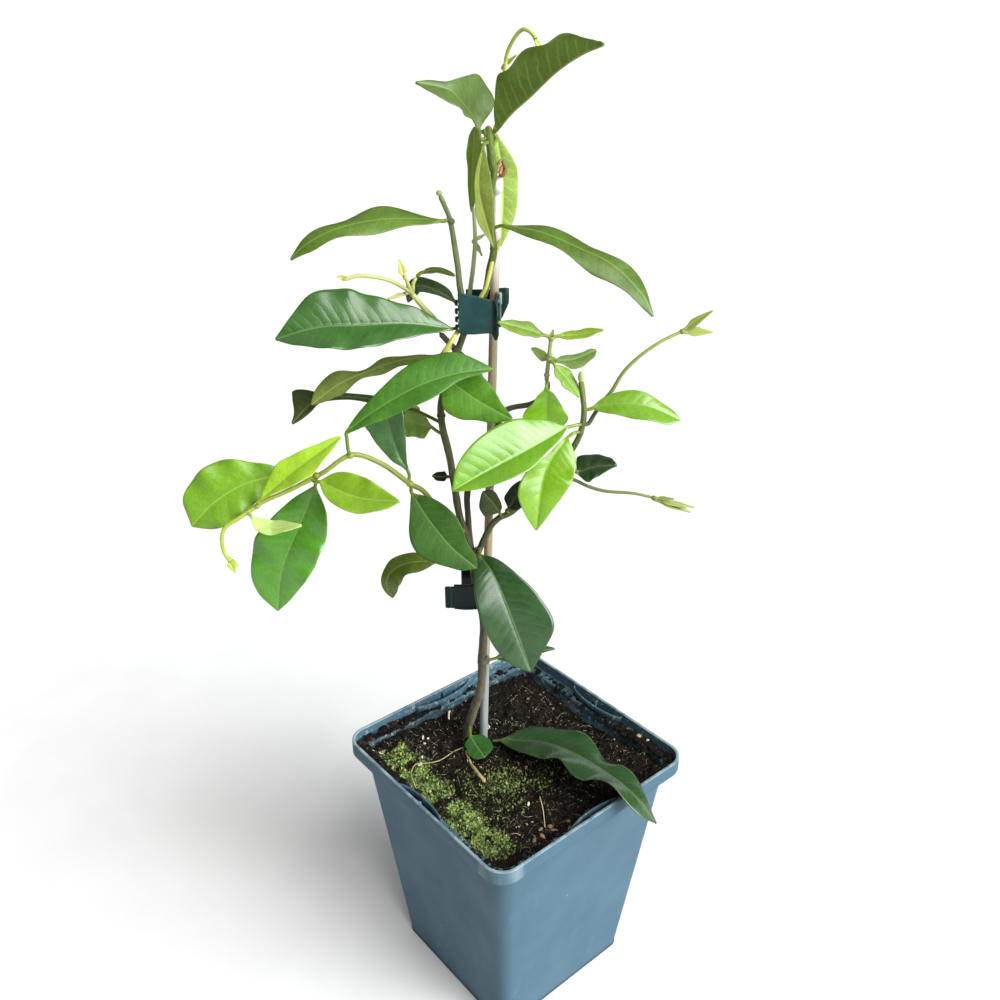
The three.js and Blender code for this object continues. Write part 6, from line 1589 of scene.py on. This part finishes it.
class JASMINE_OT_stems(bpy.types.Operator):
    """Make the brown stems and the young green shoots"""

    bl_idname = "jasmine.stems"
    bl_label = "Stems and shoots"

    def execute(self, context):
        make_wood()
        cores = core_lines()
        for name, shoot in SHOOTS.items():
            make_shoot(name, shoot, cores, context.scene.jasmine_leaf)
        return {"FINISHED"}


class JASMINE_OT_leaves(bpy.types.Operator):
    """Make every leaf from its midrib, face, fold and half widths"""

    bl_idname = "jasmine.leaves"
    bl_label = "Leaves"

    def execute(self, context):
        cores = core_lines()
        finishes = {
            look: leaf_finish("jasmine_" + look, *values) for look, values in LEAF_FINISHES.items()}
        for name, (slot, look, upper, under, blade) in LEAVES.items():
            skin = Skin()
            add_blade(skin, blade, linear(upper), linear(under), cores, context.scene.jasmine_leaf)
            skin.make(name + "_blade", finishes[look], slot, name)
        return {"FINISHED"}


class JASMINE_OT_stage(bpy.types.Operator):
    """Set the pale floor, the camera and the soft lights"""

    bl_idname = "jasmine.stage"
    bl_label = "Stage"

    def execute(self, context):
        settings = context.scene.jasmine_stage
        set_camera(context.scene, settings)
        make_floor(context.scene, settings)
        set_lights(context.scene, settings)
        context.scene.view_settings.view_transform = "Standard"
        return {"FINISHED"}


def look_along(way):
    """Rotation of a camera or lamp that looks along a direction, with Z up."""
    return Vector(way).to_track_quat("-Z", "Y").to_euler()


def set_camera(scene, settings):
    """The camera as the photograph was taken."""
    camera = bpy.data.objects.new("camera", bpy.data.cameras.new("camera"))
    camera.data.lens = settings.lens
    camera.data.sensor_width = 36
    camera.data.clip_start = 0.01
    camera.location = np.array(CAMERA_PLACE) * MM
    drop = math.radians(CAMERA_DROP)
    camera.rotation_euler = look_along((
        -math.sin(PLANT_TURN) * math.cos(drop), math.cos(PLANT_TURN) * math.cos(drop), -math.sin(drop)))
    scene.collection.objects.link(camera)
    scene.camera = camera


def make_floor(scene, settings):
    """A wide flat floor, pale and faintly mottled."""
    cells = 8
    u = np.linspace(-12000, 12000, cells + 1) * MM
    points = [(x, y, 0.0) for y in u for x in u]
    start = np.arange(cells) + (cells + 1) * np.arange(cells)[:, None]
    faces = start.reshape(-1, 1) + (0, 1, cells + 2, cells + 1)
    mesh = bpy.data.meshes.new("floor")
    mesh.from_pydata(points, [], faces.tolist())
    finish = Finish("stage_floor")
    mottle = finish.band(finish.noise(30, 3), 0.3, 0.7)
    colour = finish.mix(mottle, settings.floor, darker(settings.floor, 0.97))
    mesh.materials.append(finish.finish(colour, 0.9))
    floor = bpy.data.objects.new("floor", mesh)
    scene.collection.objects.link(floor)


def set_lights(scene, settings):
    """Soft wide lamps, and a world that is bright at the horizon and dim above."""
    for name, (toward, width, setting, colour) in LAMPS.items():
        lamp = bpy.data.lights.new(name, "SUN")
        lamp.angle, lamp.energy, lamp.color = math.radians(width), getattr(settings, setting), colour
        holder = bpy.data.objects.new(name, lamp)
        holder.location = unit(np.array(toward))
        holder.rotation_euler = look_along(-np.array(toward))
        scene.collection.objects.link(holder)
    world = bpy.data.worlds.new("studio")
    world.use_nodes = True
    tree = world.node_tree
    way = tree.nodes.new("ShaderNodeSeparateXYZ")
    tree.links.new(tree.nodes.new("ShaderNodeTexCoord").outputs["Generated"], way.inputs[0])
    height = tree.nodes.new("ShaderNodeMapRange")
    height.interpolation_type = "SMOOTHSTEP"
    for name, number in zip(RANGE, (*HORIZON, settings.fill)):
        height.inputs[name].default_value = number
    tree.links.new(way.outputs["Z"], height.inputs["Value"])
    tree.links.new(height.outputs["Result"], tree.nodes["Background"].inputs["Strength"])
    tree.nodes["Background"].inputs["Color"].default_value = (1, 1, 1, 1)
    scene.world = world


class JASMINE_PT_panel(bpy.types.Panel):
    """Buttons for the pieces of the potted jasmine"""

    bl_idname = "JASMINE_PT_panel"
    bl_label = "Potted star jasmine"
    bl_space_type = "VIEW_3D"
    bl_region_type = "UI"
    bl_category = "Jasmine"

    def draw(self, context):
        for operator in OPERATORS:
            self.layout.operator(operator.bl_idname)


GROUPS = {
    "jasmine_pot": PotSettings, "jasmine_soil": SoilSettings, "jasmine_stem": StemSettings,
    "jasmine_leaf": LeafSettings, "jasmine_stage": StageSettings,
}
OPERATORS = (
    JASMINE_OT_stage, JASMINE_OT_pot, JASMINE_OT_soil, JASMINE_OT_cane, JASMINE_OT_clips,
    JASMINE_OT_stems, JASMINE_OT_leaves,
)


def register():
    for cls in (*GROUPS.values(), *OPERATORS, JASMINE_PT_panel):
        bpy.utils.register_class(cls)
    for name, group in GROUPS.items():
        setattr(bpy.types.Scene, name, PointerProperty(type=group))


def unregister():
    for name in GROUPS:
        delattr(bpy.types.Scene, name)
    for cls in reversed((*GROUPS.values(), *OPERATORS, JASMINE_PT_panel)):
        bpy.utils.unregister_class(cls)


def main():
    """Makes the piece in order."""
    register()
    for operator in OPERATORS:
        group, name = operator.bl_idname.split(".")
        getattr(getattr(bpy.ops, group), name)()


if __name__ == "__main__":
    main()
